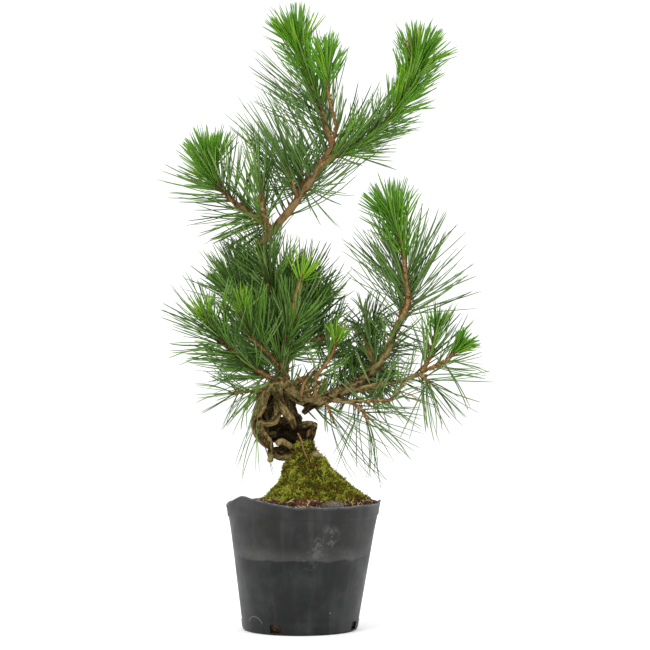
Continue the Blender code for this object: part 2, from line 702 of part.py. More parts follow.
def make_mound(parts, clearances):
    """The lumpy mound of moss round the root column."""
    profile = [(0.0, MOUND_RINGS[-1][0])]
    profile += [(radius, height) for height, _, radius in reversed(MOUND_RINGS)]
    profile.append((0.0, MOUND_RINGS[0][0]))
    mound = turned("moss_mound", profile, parts, MOUND_STEPS)
    for corner in mound.data.vertices:
        x, y, z = (value / MM for value in corner.co)
        angle = math.atan2(y, x)
        centre, _ = mound_reach(z)
        wave = 0.6 * math.sin(3.0 * angle + 0.11 * z) + 0.4 * math.sin(5.0 * angle - 0.23 * z)
        lump = 1.0 + MOUND_LUMP * wave
        corner.co = (MM * (centre + x * lump), MM * y * lump, MM * z)
    combine(mound, clearances, "DIFFERENCE")
    mound.data.materials.append(make_material("green_moss", MOSS_COLOUR, 0.95))
    return mound


# Trunk, boughs and foliage.

class Crowd:
    """Every limb, twig and needle placed so far, so that a new one can be kept clear of them."""

    def __init__(self):
        self.starts = []
        self.ends = []
        self.widths = []
        self.owners = []

    def add(self, start, end, width, owner):
        """Remember one straight piece."""
        self.starts.append(start)
        self.ends.append(end)
        self.widths.append(width)
        self.owners.append(owner)

    def add_limb(self, limb, owner, spacing=6.0):
        """Remember a limb as short straight pieces."""
        points, radii = limb.rings(spacing)
        for index in range(len(points) - 1):
            self.add(points[index], points[index + 1], max(radii[index], radii[index + 1]), owner)

    def clear(self, start, end, width, owner):
        """Whether a new piece keeps clear of every piece of the other nodes."""
        gaps = segment_gaps(start, end, np.array(self.starts), np.array(self.ends))
        others = np.array([name != owner for name in self.owners])
        return not np.any(others & (gaps < np.array(self.widths) + width + NEEDLE_CLEARANCE))


def segment_gaps(start, end, starts, ends):
    """Least distances between one straight piece and many."""
    run, runs = end - start, ends - starts
    between = start - starts
    a = float(run @ run)
    b = runs @ run
    c = np.einsum("ij,ij->i", runs, runs)
    d = between @ run
    e = np.einsum("ij,ij->i", runs, between)
    spread = np.maximum(a * c - b * b, 1e-9)
    near = np.clip((b * e - c * d) / spread, 0.0, 1.0)
    far = np.clip((b * near + e) / c, 0.0, 1.0)
    near = np.clip((b * far - d) / a, 0.0, 1.0)
    gap = between + near[:, None] * run - far[:, None] * runs
    return np.linalg.norm(gap, axis=1)


def grown_limb(parent, share, spans, radii):
    """A limb whose foot is on its parent's centre line, or at its tip."""
    return Limb(parent.point(share), spans, radii)


def side_frame(heading):
    """Two directions square to a heading."""
    across = np.cross(heading, vector((0.0, 0.0, 1.0)))
    if np.linalg.norm(across) < 0.05:
        across = vector((1.0, 0.0, 0.0))
    across = unit(across)
    return across, np.cross(across, heading)


def leaning(heading, angle, pitch):
    """A direction that leans off a heading by a pitch, at an angle round it."""
    across, above = side_frame(heading)
    side = across * math.cos(angle) + above * math.sin(angle)
    return heading * math.cos(pitch) + side * math.sin(pitch)


def in_own_space(tip, own, others, interlock):
    """Whether a tip leaves the roots bare and has no other mass's stem much nearer than its own."""
    own_gap = np.min(np.linalg.norm(own - tip, axis=1))
    other_gap = np.min(np.linalg.norm(others - tip, axis=1))
    place = tip[[0, 2]]
    by_roots = np.all((place > BARE_LOW) & (place < BARE_HIGH))
    return own_gap < other_gap + interlock and not by_roots


def clear_of_mound(start, end):
    """Whether a needle stays out of the moss, the soil and the pot."""
    for share in NEEDLE_CHECKS:
        x, y, z = start + (end - start) * share
        centre, radius = mound_reach(z)
        beside = math.hypot(x - centre, y) < radius * MOUND_ROOM + MOUND_MARGIN
        if beside and z < MOUND_RINGS[-1][0] + MOUND_MARGIN:
            return False
        if z < POT_RIM_HEIGHT + POT_MARGIN:
            return False
    return True


def twig_spray(spray):
    """The needles of a side twig, fewer than the last spray's of its stem."""
    low, tip = TWIG_PITCHES
    return Spray(TWIG_BARE, 1.0, round(spray.count * TWIG_SHARE), spray.length, low, tip, spray.pull)


def needles_of(mass, stem, twigs, stems, crowd):
    """Place a mass's needles by the golden angle, skipping what leaves its space or touches a limb.

    Returns:
        A list of (root, tip) pairs, in millimetres.
    """
    luck = random.Random(mass.seed)
    own = np.concatenate([stem.points] + [twig.points for twig in twigs])
    others = np.concatenate([limb.points for name, limb in stems.items() if name != mass.name])
    placed = []
    carriers = [(stem, spray) for spray in mass.sprays]
    carriers += [(twig, twig_spray(mass.sprays[-1])) for twig in twigs]
    for limb, spray in carriers:
        phase = luck.uniform(0.0, 2.0 * math.pi)
        for index in range(spray.count):
            share = (index + 0.5) / spray.count
            place = spray.start + (spray.end - spray.start) * share ** spray.crowding
            pitch = math.radians(spray.pitch_low + (spray.pitch_tip - spray.pitch_low) * share)
            pitch += luck.uniform(-NEEDLE_SCATTER, NEEDLE_SCATTER)
            heading = leaning(limb.heading(place), phase + index * GOLDEN_ANGLE, pitch)
            heading = unit(heading + NEEDLE_PULL * vector(spray.pull))
            length = spray.length * luck.uniform(*NEEDLE_LENGTHS)
            root = limb.point(place)
            tip = root + heading * length
            if not in_own_space(tip, own, others, mass.interlock) or not clear_of_mound(root, tip):
                continue
            if crowd.clear(root, tip, NEEDLE_RADIUS, mass.name):
                crowd.add(root, tip, NEEDLE_RADIUS, mass.name)
                placed.append((root - heading * NEEDLE_SINK, tip))
    return placed


def twigs_of(mass, stem, crowd):
    """Side twigs that leave the stem a golden angle apart and turn up towards its tip."""
    luck = random.Random(mass.seed + 1000)
    phase = luck.uniform(0.0, 2.0 * math.pi)
    twigs = []
    for index in range(mass.twigs):
        share = TWIG_FIRST + TWIG_STEP * index
        heading = leaning(stem.heading(share), phase + index * GOLDEN_ANGLE, TWIG_SPREAD)
        length = stem.length * luck.uniform(*TWIG_LENGTHS)
        rise = Span(tuple(heading * length), (0.0, 0.0, -TWIG_SAG * length))
        twig = Limb(stem.point(share), (rise,), (mass.radius * 0.95, mass.radius * 0.8))
        if crowd.clear(twig.point(0.0), twig.point(1.0), mass.radius, mass.name):
            crowd.add_limb(twig, mass.name)
            twigs.append(twig)
    return twigs


def make_trunk(parts, clearances):
    """The trunk and its bared roots, as one solid.

    Returns:
        The limbs made so far, by name.
    """
    trunk = limb_tube("trunk", TRUNK, LIMB_SIDES, parts)
    roots = make_collection("bared_roots")
    bared = ROOTS + STUMP + (NUB,)
    for index, root in enumerate(bared):
        limb_tube(f"root_{index + 1}", root, ROOT_SIDES, roots, ROOT_RING_SPACING)
    combine(trunk, roots, "UNION")
    empty_collection(roots)
    trunk.data.materials.append(make_material("old_bark", BARK_COLOUR, 0.9))
    limbs = {"trunk": TRUNK}
    add_clearance("trunk", TRUNK, LIMB_SIDES, clearances)
    for index, root in enumerate(bared):
        limbs[f"root_{index + 1}"] = root
        add_clearance(f"root_{index + 1}", root, ROOT_SIDES, clearances, ROOT_RING_SPACING)
    return limbs


def add_clearance(name, limb, sides, clearances, spacing=LIMB_RING_SPACING):
    """Add the limb's clearance shape, a gap wider all round, to those that later limbs are cut by."""
    as_cutter(limb_tube(name + "_clear", limb, sides, clearances, spacing, grow=GAP))


def make_boughs(parts, limbs, clearances):
    """The boughs, each cut a gap clear of the limb it leaves."""
    bark = make_material("bough_bark", BARK_COLOUR, 0.9)
    for bough in BOUGHS:
        limb = grown_limb(limbs[bough.parent], bough.share, bough.spans, bough.radii)
        thing = limb_tube(bough.name, limb, ROOT_SIDES, parts)
        combine(thing, clearances, "DIFFERENCE")
        limbs[bough.name] = limb
        add_clearance(bough.name, limb, ROOT_SIDES, clearances)
        if bough.name == "right_bough":
            add_stub(thing, limbs, clearances)
        thing.data.materials.append(bark)


def add_stub(bough, limbs, clearances):
    """Fuse the broken stub to its bough."""
    stubs = make_collection("broken_stubs")
    limb_tube("broken_stub", BROKEN_STUB, ROOT_SIDES, stubs)
    combine(bough, stubs, "UNION")
    empty_collection(stubs)
    limbs["broken_stub"] = BROKEN_STUB
    add_clearance("broken_stub", BROKEN_STUB, ROOT_SIDES, clearances)


def make_foliage(parts, limbs, clearances):
    """Every mass of needles, each one solid on its own stem."""
    crowd = Crowd()
    for name, limb in limbs.items():
        crowd.add_limb(limb, name)
    stems = {}
    for mass in MASSES:
        radii = [mass.radius * (1.0 - 0.1 * joint) for joint in range(len(mass.spans) + 1)]
        limb = grown_limb(limbs[mass.parent], mass.share, mass.spans, radii)
        stems[mass.name] = limb
        crowd.add_limb(limb, mass.name)
    new_green = make_material("new_needles", NEW_GREEN, 0.5)
    old_green = make_material("old_needles", OLD_GREEN, 0.55)
    grown = {mass.name: twigs_of(mass, stems[mass.name], crowd) for mass in MASSES}
    for mass in MASSES:
        stem = stems[mass.name]
        twigs = grown[mass.name]
        needles = needles_of(mass, stem, twigs, stems, crowd)
        foliage = limb_tube(mass.name, stem, STEM_SIDES, parts, STEM_RING_SPACING)
        combine(foliage, clearances, "DIFFERENCE")
        add_clearance(mass.name, stem, STEM_SIDES, clearances, STEM_RING_SPACING)
        sprays = make_collection(mass.name + "_sprays")
        for index, twig in enumerate(twigs):
            limb_tube(f"{mass.name}_twig_{index + 1}", twig, TWIG_SIDES, sprays, STEM_RING_SPACING)
        for index, (root, tip) in enumerate(needles):
            spike(f"{mass.name}_needle_{index + 1}", root, tip, sprays)
        combine(foliage, sprays, "UNION")
        empty_collection(sprays)
        has_tuft = len(mass.sprays) > 1
        foliage.data.materials.append(new_green if has_tuft else old_green)


def main():
    """Build the plant, limb by limb."""
    clear_scene()
    parts = make_collection("potted_black_pine")
    cutters = make_collection("cutters")
    clearances = bpy.data.collections.new("limb_clearances")
    cutters.children.link(clearances)
    make_pot(parts, cutters)
    make_soil(parts)
    limbs = make_trunk(parts, clearances)
    make_mound(parts, clearances)
    make_boughs(parts, limbs, clearances)
    make_foliage(parts, limbs, clearances)


main()
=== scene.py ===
"""The looks of a potted Japanese black pine that stands on its own bared roots.

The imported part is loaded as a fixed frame. A thin plastic pot, crumbly soil, a mound of moss, bark
in relief, twigs and pairs of needles then stand for its solids. Limbs and masses of needles grow by
the rule of the part's source, carried to finer twigs: side twigs leave a stem a golden angle apart,
and pairs of needles stand round stem and twigs a golden angle apart.

Lengths in this file are millimetres and become metres when a mesh is made. X is to the right of the
front view, Y away from it and Z up, from the centre of the pot's foot.
"""

import json
import logging
import math
from dataclasses import dataclass, field, replace
from enum import Enum

import bpy
import numpy as np
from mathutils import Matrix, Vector, noise

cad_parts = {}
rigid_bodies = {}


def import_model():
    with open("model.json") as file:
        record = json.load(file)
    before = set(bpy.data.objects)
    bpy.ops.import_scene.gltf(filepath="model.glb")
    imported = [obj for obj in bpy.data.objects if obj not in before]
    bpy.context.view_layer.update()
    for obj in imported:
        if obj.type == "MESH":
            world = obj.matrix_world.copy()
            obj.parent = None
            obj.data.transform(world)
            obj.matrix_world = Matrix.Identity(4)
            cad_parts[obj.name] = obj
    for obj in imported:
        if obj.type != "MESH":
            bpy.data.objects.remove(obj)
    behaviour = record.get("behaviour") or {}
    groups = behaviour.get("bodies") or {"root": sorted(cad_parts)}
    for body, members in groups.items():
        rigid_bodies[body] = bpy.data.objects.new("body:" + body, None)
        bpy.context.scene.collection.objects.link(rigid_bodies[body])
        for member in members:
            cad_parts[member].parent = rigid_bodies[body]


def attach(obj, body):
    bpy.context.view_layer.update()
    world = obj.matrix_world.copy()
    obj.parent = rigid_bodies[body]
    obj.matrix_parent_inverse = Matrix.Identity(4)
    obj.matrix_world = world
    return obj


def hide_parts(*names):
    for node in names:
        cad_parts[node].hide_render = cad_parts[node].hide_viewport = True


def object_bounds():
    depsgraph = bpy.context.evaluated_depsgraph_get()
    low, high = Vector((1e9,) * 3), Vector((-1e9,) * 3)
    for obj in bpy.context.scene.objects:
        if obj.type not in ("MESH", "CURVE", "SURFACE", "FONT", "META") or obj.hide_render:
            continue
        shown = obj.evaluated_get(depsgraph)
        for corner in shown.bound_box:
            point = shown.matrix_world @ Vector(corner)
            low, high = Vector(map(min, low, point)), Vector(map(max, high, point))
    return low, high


MM = 0.001
BODY = "root"
GOLDEN_ANGLE = math.pi * (3.0 - math.sqrt(5.0))
PIECE_TRIANGLES = 180000
UPRIGHT = 0.05

log = logging.getLogger("potted_pine")

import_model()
cad_low, cad_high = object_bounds()

# Short names for types.
Rows = np.ndarray
Luck = np.random.Generator
Thing = bpy.types.Object
Socket = bpy.types.NodeSocket


# Vectors.

def vector(values: tuple) -> Rows:
    """A numpy vector of three lengths."""
    return np.array(values, dtype=float)


def unit(rows: Rows) -> Rows:
    """The rows, or the one vector, with length one."""
    return rows / np.maximum(np.linalg.norm(rows, axis=-1, keepdims=True), 1e-9)


def side_frames(headings: Rows) -> tuple[Rows, Rows]:
    """Two directions square to each heading.

    Args:
        headings: Unit vectors, one a row.

    Returns:
        The directions across and above, one a row each.
    """
    across = np.cross(headings, vector((0.0, 0.0, 1.0)))
    upright = np.linalg.norm(across, axis=1) < UPRIGHT
    across[upright] = vector((1.0, 0.0, 0.0))
    across = unit(across)
    return across, np.cross(across, headings)


def leaning(headings: Rows, angles: Rows, pitches: Rows) -> Rows:
    """Directions that lean off headings.

    Args:
        headings: Unit vectors, one a row.
        angles: The angle round each heading.
        pitches: The angle off each heading.

    Returns:
        Unit vectors, one a row.
    """
    across, above = side_frames(headings)
    side = across * np.cos(angles)[:, None] + above * np.sin(angles)[:, None]
    return headings * np.cos(pitches)[:, None] + side * np.sin(pitches)[:, None]


# Objects and meshes.

def deselect() -> None:
    """Leave nothing selected and be in object mode."""
    if bpy.context.object and bpy.context.object.mode != "OBJECT":
        bpy.ops.object.mode_set(mode="OBJECT")
    bpy.ops.object.select_all(action="DESELECT")


def activate(thing: Thing) -> None:
    """Make one object the selected and active one."""
    deselect()
    thing.select_set(True)
    bpy.context.view_layer.objects.active = thing


def apply_modifier(thing: Thing, kind: str, **settings: object) -> None:
    """Add a modifier to an object and apply it.

    Args:
        thing: The object.
        kind: The modifier's type.
        **settings: The modifier's properties.
    """
    activate(thing)
    modifier = thing.modifiers.new(kind.lower(), kind)
    for key, value in settings.items():
        setattr(modifier, key, value)
    bpy.ops.object.modifier_apply(modifier=modifier.name)


def new_object(name: str, data: bpy.types.ID) -> Thing:
    """An object for a mesh, curve, light or camera, in the scene."""
    thing = bpy.data.objects.new(name, data)
    bpy.context.scene.collection.objects.link(thing)
    return thing


def mesh_from(name: str, corners: Rows, triangles: Rows) -> bpy.types.Mesh:
    """A smooth mesh of triangles.

    Args:
        name: The mesh's name.
        corners: Points in millimetres, one a row.
        triangles: Three corner numbers a row.

    Returns:
        The mesh, in metres.
    """
    mesh = bpy.data.meshes.new(name)
    mesh.vertices.add(len(corners))
    mesh.vertices.foreach_set("co", (corners * MM).astype(np.float32).ravel())
    mesh.loops.add(triangles.size)
    mesh.loops.foreach_set("vertex_index", triangles.astype(np.int32).ravel())
    mesh.polygons.add(len(triangles))
    mesh.polygons.foreach_set("loop_start", np.arange(0, triangles.size, 3, dtype=np.int32))
    mesh.update(calc_edges=True)
    mesh.shade_smooth()
    return mesh


def points_of(mesh: bpy.types.Mesh) -> Rows:
    """A mesh's corners in millimetres, one a row."""
    flat = np.empty(len(mesh.vertices) * 3, dtype=np.float32)
    mesh.vertices.foreach_get("co", flat)
    return flat.reshape(-1, 3).astype(float) / MM


def normals_of(mesh: bpy.types.Mesh) -> Rows:
    """A mesh's corner normals, one a row."""
    flat = np.empty(len(mesh.vertices) * 3, dtype=np.float32)
    mesh.vertex_normals.foreach_get("vector", flat)
    return flat.reshape(-1, 3).astype(float)


def move_points(mesh: bpy.types.Mesh, points: Rows) -> None:
    """Put a mesh's corners at places given in millimetres."""
    mesh.vertices.foreach_set("co", (points * MM).astype(np.float32).ravel())
    mesh.update()


def distances(points: Rows, others: Rows) -> Rows:
    """How far each point, one a row, lies from each other one, one a column."""
    return np.linalg.norm(points[:, None] - others[None], axis=2)


def mark_points(mesh: bpy.types.Mesh, name: str, values: Rows) -> None:
    """Keep a number for each corner as an attribute that a finish reads."""
    attribute = mesh.attributes.new(name, "FLOAT", "POINT")
    attribute.data.foreach_set("value", values.astype(np.float32))


@dataclass
class Sheaf:
    """Many small shapes of a few faces, joined into pieces that each stay under the triangle limit."""

    name: str
    batches: list = field(default_factory=list)

    def add(self, shapes: Rows, faces: Rows) -> None:
        """Add shapes that share one table of faces.

        Args:
            shapes: Corners in millimetres, by shape, corner and axis.
            faces: Three corner numbers a row, within one shape.
        """
        if len(shapes) == 0:
            return
        offsets = np.arange(len(shapes)) * shapes.shape[1]
        triangles = (faces[None] + offsets[:, None, None]).reshape(-1, 3)
        self.batches.append((shapes.reshape(-1, 3), triangles))

    def pieces(self) -> list[Thing]:
        """The joined objects, each under the triangle limit."""
        groups = []
        room = 0
        for corners, triangles in self.batches:
            if len(triangles) > room:
                groups.append([])
                room = PIECE_TRIANGLES
            groups[-1].append((corners, triangles))
            room -= len(triangles)
        made = []
        for index, group in enumerate(groups):
            name = self.name if len(groups) == 1 else f"{self.name}_{index + 1}"
            firsts = np.cumsum([0] + [len(corners) for corners, _ in group])
            corners = np.concatenate([corners for corners, _ in group])
            triangles = np.concatenate([triangles + first for (_, triangles), first in zip(group, firsts)])
            made.append(new_object(name, mesh_from(name, corners, triangles)))
        return made

    def dress(self, finish: object, slot: str, *nodes: str) -> None:
        """Join the shapes and dress the pieces alike."""
        for piece in self.pieces():
            dress(piece, finish, slot, *nodes)


def dress_shapes(name: str, shapes: Rows, faces: Rows, finish: object, slot: str) -> None:
    """Join shapes that share one table of faces, and dress them."""
    sheaf = Sheaf(name)
    sheaf.add(shapes, faces)
    sheaf.dress(finish, slot)


# Finishes.

class Surface:
    """A Principled material that is being put together from nodes."""

    def __init__(self, name: str) -> None:
        """Start the material.

        Args:
            name: The material's name.
        """
        self.material = bpy.data.materials.new(name)
        self.material.use_nodes = True
        self.tree = self.material.node_tree
        self.shader = self.tree.nodes["Principled BSDF"]
        self.place = self.add("ShaderNodeTexCoord").outputs["Object"]

    def add(self, kind: str, **settings: object) -> bpy.types.Node:
        """A new node with the given properties."""
        node = self.tree.nodes.new(kind)
        for key, value in settings.items():
            setattr(node, key, value)
        return node

    def feed(self, socket: Socket, value: object) -> None:
        """Link a socket to another one, or give it a plain value."""
        if isinstance(value, Socket):
            self.tree.links.new(value, socket)
        elif isinstance(value, tuple) and len(value) == 3 and socket.type == "RGBA":
            socket.default_value = (*value, 1.0)
        else:
            socket.default_value = value

    def set(self, name: str, value: object) -> None:
        """Give one of the shader's sockets a link or a value."""
        self.feed(self.shader.inputs[name], value)

    def stretched(self, scale: tuple) -> Socket:
        """Object coordinates, stretched."""
        mapping = self.add("ShaderNodeMapping")
        self.feed(mapping.inputs["Vector"], self.place)
        mapping.inputs["Scale"].default_value = scale
        return mapping.outputs["Vector"]

    def grain(self, size: float, detail: float = 4.0, rough: float = 0.55,
              place: Socket | None = None) -> Socket:
        """Noise with features of a size.

        Args:
            size: The features' size in millimetres.
            detail: The number of octaves.
            rough: How strong the finer octaves are.
            place: The coordinates, or none for Object coordinates.

        Returns:
            The noise, from 0 to 1.
        """
        node = self.add("ShaderNodeTexNoise")
        self.feed(node.inputs["Vector"], place or self.place)
        node.inputs["Scale"].default_value = 1.0 / (size * MM)
        node.inputs["Detail"].default_value = detail
        node.inputs["Roughness"].default_value = rough
        return node.outputs["Fac"]

    def cells(self, size: float) -> Socket:
        """Distances in a pattern of cells of a size in millimetres."""
        node = self.add("ShaderNodeTexVoronoi")
        self.feed(node.inputs["Vector"], self.place)
        node.inputs["Scale"].default_value = 1.0 / (size * MM)
        return node.outputs["Distance"]

    def attribute(self, name: str) -> Socket:
        """A number kept with the mesh's corners."""
        return self.add("ShaderNodeAttribute", attribute_name=name).outputs["Fac"]

    def ramp(self, value: Socket, stops: tuple) -> Socket:
        """Colours along a value.

        Args:
            value: The value.
            stops: Pairs of a place and a colour.

        Returns:
            The colour.
        """
        node = self.add("ShaderNodeValToRGB")
        elements = node.color_ramp.elements
        while len(elements) < len(stops):
            elements.new(0.5)
        for element, (place, colour) in zip(elements, stops):
            element.position = place
            element.color = (*colour, 1.0)
        self.feed(node.inputs["Fac"], value)
        return node.outputs["Color"]

    def span(self, value: Socket, low: float, high: float,
             start: float = 0.0, end: float = 1.0) -> Socket:
        """A value's stretch from low to high, spread smoothly from start to end."""
        node = self.add("ShaderNodeMapRange", interpolation_type="SMOOTHSTEP")
        self.feed(node.inputs["Value"], value)
        node.inputs["From Min"].default_value = low
        node.inputs["From Max"].default_value = high
        node.inputs["To Min"].default_value = start
        node.inputs["To Max"].default_value = end
        return node.outputs["Result"]

    def sum(self, kind: str, first: object, second: object = 0.0) -> Socket:
        """A Math node's result."""
        node = self.add("ShaderNodeMath", operation=kind)
        self.feed(node.inputs[0], first)
        self.feed(node.inputs[1], second)
        return node.outputs[0]

    def times(self, first: object, second: object) -> Socket:
        """Two values multiplied."""
        return self.sum("MULTIPLY", first, second)

    def blend(self, share: float, first: Socket, second: Socket) -> Socket:
        """A share of one value and the rest of another."""
        return self.sum("ADD", self.times(first, share), self.times(second, 1.0 - share))

    def mix(self, share: object, first: object, second: object) -> Socket:
        """A mixture of two colours."""
        node = self.add("ShaderNodeMix", data_type="RGBA")
        self.feed(node.inputs["Factor"], share)
        self.feed(node.inputs[6], first)
        self.feed(node.inputs[7], second)
        return node.outputs[2]

    def near(self, centre: tuple) -> Socket:
        """The distance in metres from a point given in millimetres."""
        node = self.add("ShaderNodeVectorMath", operation="DISTANCE")
        self.feed(node.inputs[0], self.place)
        node.inputs[1].default_value = tuple(value * MM for value in centre)
        return node.outputs["Value"]

    def axis(self, name: str) -> Socket:
        """How far along X, Y or Z a point lies, in metres."""
        node = self.add("ShaderNodeSeparateXYZ")
        self.feed(node.inputs[0], self.place)
        return node.outputs[name]

    def dull(self, level: float) -> None:
        """Say how strongly the surface mirrors."""
        self.shader.inputs["Specular IOR Level"].default_value = level

    def bump(self, value: Socket, depth: float, strength: float = 1.0) -> None:
        """Press a pattern of a depth in millimetres into the surface."""
        node = self.add("ShaderNodeBump")
        node.inputs["Strength"].default_value = strength
        node.inputs["Distance"].default_value = depth * MM
        self.feed(node.inputs["Height"], value)
        self.set("Normal", node.outputs["Normal"])


@dataclass(frozen=True)
class PotPlastic:
    """Thin black nursery plastic: dusty, with a dried water line, smears, scuffs and specks, a painted
    highlight along the top of the rim and a painted sheen towards its left and right sides.

    A smear or a spot is a point on the wall and its reach.
    """

    plain: tuple = (0.0088, 0.0086, 0.0084)
    wet: tuple = (0.0040, 0.0044, 0.0052)
    dust: tuple = (0.085, 0.087, 0.083)
    # The pale colour of the scuffs and spots, also painted along the top of the rim as a highlight.
    scuff_and_lip_highlight: tuple = (0.110, 0.120, 0.128)
    water_line: float = 69.0 * MM
    line_wave: float = 0.012
    band_dust: float = 0.55
    film_dust: float = 0.16
    # Dust in vertical streaks, strong enough to be painted highlights too.
    streak_dust_and_sheen: float = 0.22
    smear_dust: float = 0.75
    # Dust and painted sheen towards the left and right sides.
    side_dust_and_sheen: float = 0.14
    speck_dust: float = 0.5
    scratch_share: float = 0.6
    smears: tuple = ((24.0, -68.0, 88.0, 20.0), (10.0, -71.0, 76.0, 15.0), (30.0, -66.0, 100.0, 13.0),
                     (-4.0, -72.0, 73.0, 9.0))
    scratch_centre: tuple = (-43.6, -38.3, 5.5)
    scratch_radius: float = 11.5
    spots: tuple = ((29.9, -52.6, 21.8, 0.9), (28.9, -53.0, 25.0, 0.5), (-18.0, -67.5, 58.0, 0.5))

    def material(self) -> bpy.types.Material:
        """Build the finish."""
        make = Surface("nursery_plastic")
        wobble = make.times(make.grain(38.0, 3.0), self.line_wave)
        level = make.sum("SUBTRACT", make.axis("Z"), wobble)
        above = make.span(level, self.water_line - 0.0018, self.water_line + 0.0005)
        colour = make.mix(above, self.wet, self.plain)
        for share in self.dusty(make, level, above):
            colour = make.mix(share, colour, self.dust)
        for share in self.scuffed(make):
            colour = make.mix(share, colour, self.scuff_and_lip_highlight)
        specks = make.span(make.cells(5.5), 0.05, 0.075, 1.0, 0.0)
        few = make.span(make.grain(16.0, 2.0), 0.60, 0.64)
        colour = make.mix(make.times(make.times(specks, few), self.speck_dust), colour, self.dust)
        # Painted highlight: the top of the rim is lightened, in the pale colour of the scuffs.
        scuff_and_lip_highlight = make.times(make.attribute("scuff_and_lip_highlight"), make.span(make.grain(5.0), 0.35, 0.6, 0.35, 1.0))
        make.set("Base Color", make.mix(scuff_and_lip_highlight, colour, self.scuff_and_lip_highlight))
        roughness = make.span(make.grain(20.0, 5.0), 0.3, 0.7, 0.40, 0.55)
        make.set("Roughness", make.sum("ADD", roughness, make.times(above, 0.06)))
        make.dull(0.25)
        make.bump(make.grain(14.0, 6.0, 0.6), 0.25, 0.5)
        return make.material

    def dusty(self, make: Surface, level: Socket, above: Socket) -> list[Socket]:
        """Shares of dust: in a band over the water line, as a film, in streaks that also stand in for painted
        highlights, in smears, and towards the left and right sides as dust and painted sheen.

        Args:
            make: The material.
            level: The wavy height.
            above: Whether a point is above the water line.

        Returns:
            The shares, in the order they are laid on.
        """
        band = make.times(above, make.span(level, self.water_line + 0.001, self.water_line + 0.016, 1.0, 0.0))
        cloud = make.span(make.grain(34.0, 6.0, 0.65), 0.42, 0.72)
        half_cloud = make.sum("MULTIPLY_ADD", cloud, 0.5)
        # The vertical streaks are dust, made strong enough to stand in for painted vertical highlights too.
        streaks = make.grain(13.0, 4.0, 0.55, make.stretched((1.0, 1.0, 0.08)))
        shares = [make.times(make.times(band, half_cloud), self.band_dust),
                  make.times(cloud, self.film_dust),
                  make.span(streaks, 0.46, 0.80, 0.0, self.streak_dust_and_sheen)]
        wisps = make.span(make.grain(9.0, 7.0, 0.72), 0.47, 0.66)
        for x, y, z, reach in self.smears:
            inside = make.span(make.near((x, y, z)), 0.25 * reach * MM, reach * MM, 1.0, 0.0)
            shares.append(make.times(make.times(inside, wisps), self.smear_dust))
        # Painted sheen: the wall is lightened towards its left and right sides as the front view sees them,
        # in the dust colour. This is dust and painted reflection both.
        from_middle = make.sum("ABSOLUTE", make.axis("X"))
        shares.append(make.span(from_middle, 0.030, 0.075, 0.0, self.side_dust_and_sheen))
        return shares

    def scuffed(self, make: Surface) -> list[Socket]:
        """Where the pale scratch and the pale spots are."""
        off_scratch = make.sum("SUBTRACT", make.near(self.scratch_centre), self.scratch_radius * MM)
        scratch = make.span(make.sum("ABSOLUTE", off_scratch), 0.0003, 0.0008, 1.0, 0.0)
        scratch = make.times(scratch, make.span(make.axis("Z"), 0.009, 0.013))
        return [make.times(scratch, self.scratch_share)] + [
            make.span(make.near((x, y, z)), 0.6 * reach * MM, reach * MM, 1.0, 0.0)
            for x, y, z, reach in self.spots]


@dataclass(frozen=True)
class Crumbly:
    """Earth, stone or moss ground: mottled from a dark to a light colour, with a rough relief."""

    name: str
    dark: tuple
    middle: tuple
    light: tuple
    grain: float
    depth: float = 0.6
    mottle_share: float = 0.6
    roughness: float = 0.95

    def material(self) -> bpy.types.Material:
        """Build the finish."""
        make = Surface(self.name)
        mottle = make.grain(self.grain, 5.0, 0.62)
        broad = make.grain(self.grain * 4.0, 3.0)
        value = make.blend(self.mottle_share, mottle, broad)
        colour = make.ramp(value, ((0.36, self.dark), (0.50, self.middle), (0.66, self.light)))
        make.set("Base Color", colour)
        make.set("Roughness", self.roughness)
        make.dull(0.12)
        make.bump(make.grain(self.grain * 0.5, 4.0, 0.7), self.depth, 0.8)
        return make.material


@dataclass(frozen=True)
class Bark:
    """Bark: light on its plates, dark in its furrows, greyer in patches, near black where rotten wood and
    painted shade are marked.
    """

    name: str
    furrow: tuple
    middle: tuple
    ridge: tuple
    patch: tuple
    patch_share: float = 0.35
    relief_share: float = 0.52
    # The near black of rotten wood and of painted shade.
    shade_and_rot_colour: tuple = (0.006, 0.0035, 0.0012)
    young: tuple = (0.178, 0.104, 0.046)

    def material(self) -> bpy.types.Material:
        """Build the finish."""
        make = Surface(self.name)
        relief = make.attribute("relief")
        fine = make.grain(2.2, 5.0, 0.65)
        value = make.blend(self.relief_share, relief, fine)
        colour = make.ramp(value, ((0.24, self.furrow), (0.48, self.middle), (0.74, self.ridge)))
        patches = make.span(make.grain(15.0, 4.0, 0.6), 0.50, 0.68, 0.0, self.patch_share)
        colour = make.mix(patches, colour, self.patch)
        colour = make.mix(make.attribute("young"), colour, self.young)
        # Near black where the mesh marks rotten wood and painted shade.
        make.set("Base Color", make.mix(make.attribute("painted_shade_and_rot"), colour, self.shade_and_rot_colour))
        make.set("Roughness", make.span(fine, 0.3, 0.7, 0.78, 0.95))
        make.dull(0.06)
        make.bump(make.grain(1.1, 5.0, 0.7), 0.45, 1.0)
        return make.material


@dataclass(frozen=True)
class PlainTint:
    """A small thing that is dealt one plain base colour, with a slightly uneven gloss."""

    name: str
    colour: tuple
    roughness: float = 0.5
    gloss: float = 0.25

    def material(self) -> bpy.types.Material:
        """Build the finish."""
        make = Surface(self.name)
        make.set("Base Color", self.colour)
        make.dull(self.gloss)
        uneven = make.grain(3.0, 2.0)
        make.set("Roughness", make.span(uneven, 0.3, 0.7, self.roughness - 0.06, self.roughness + 0.08))
        return make.material


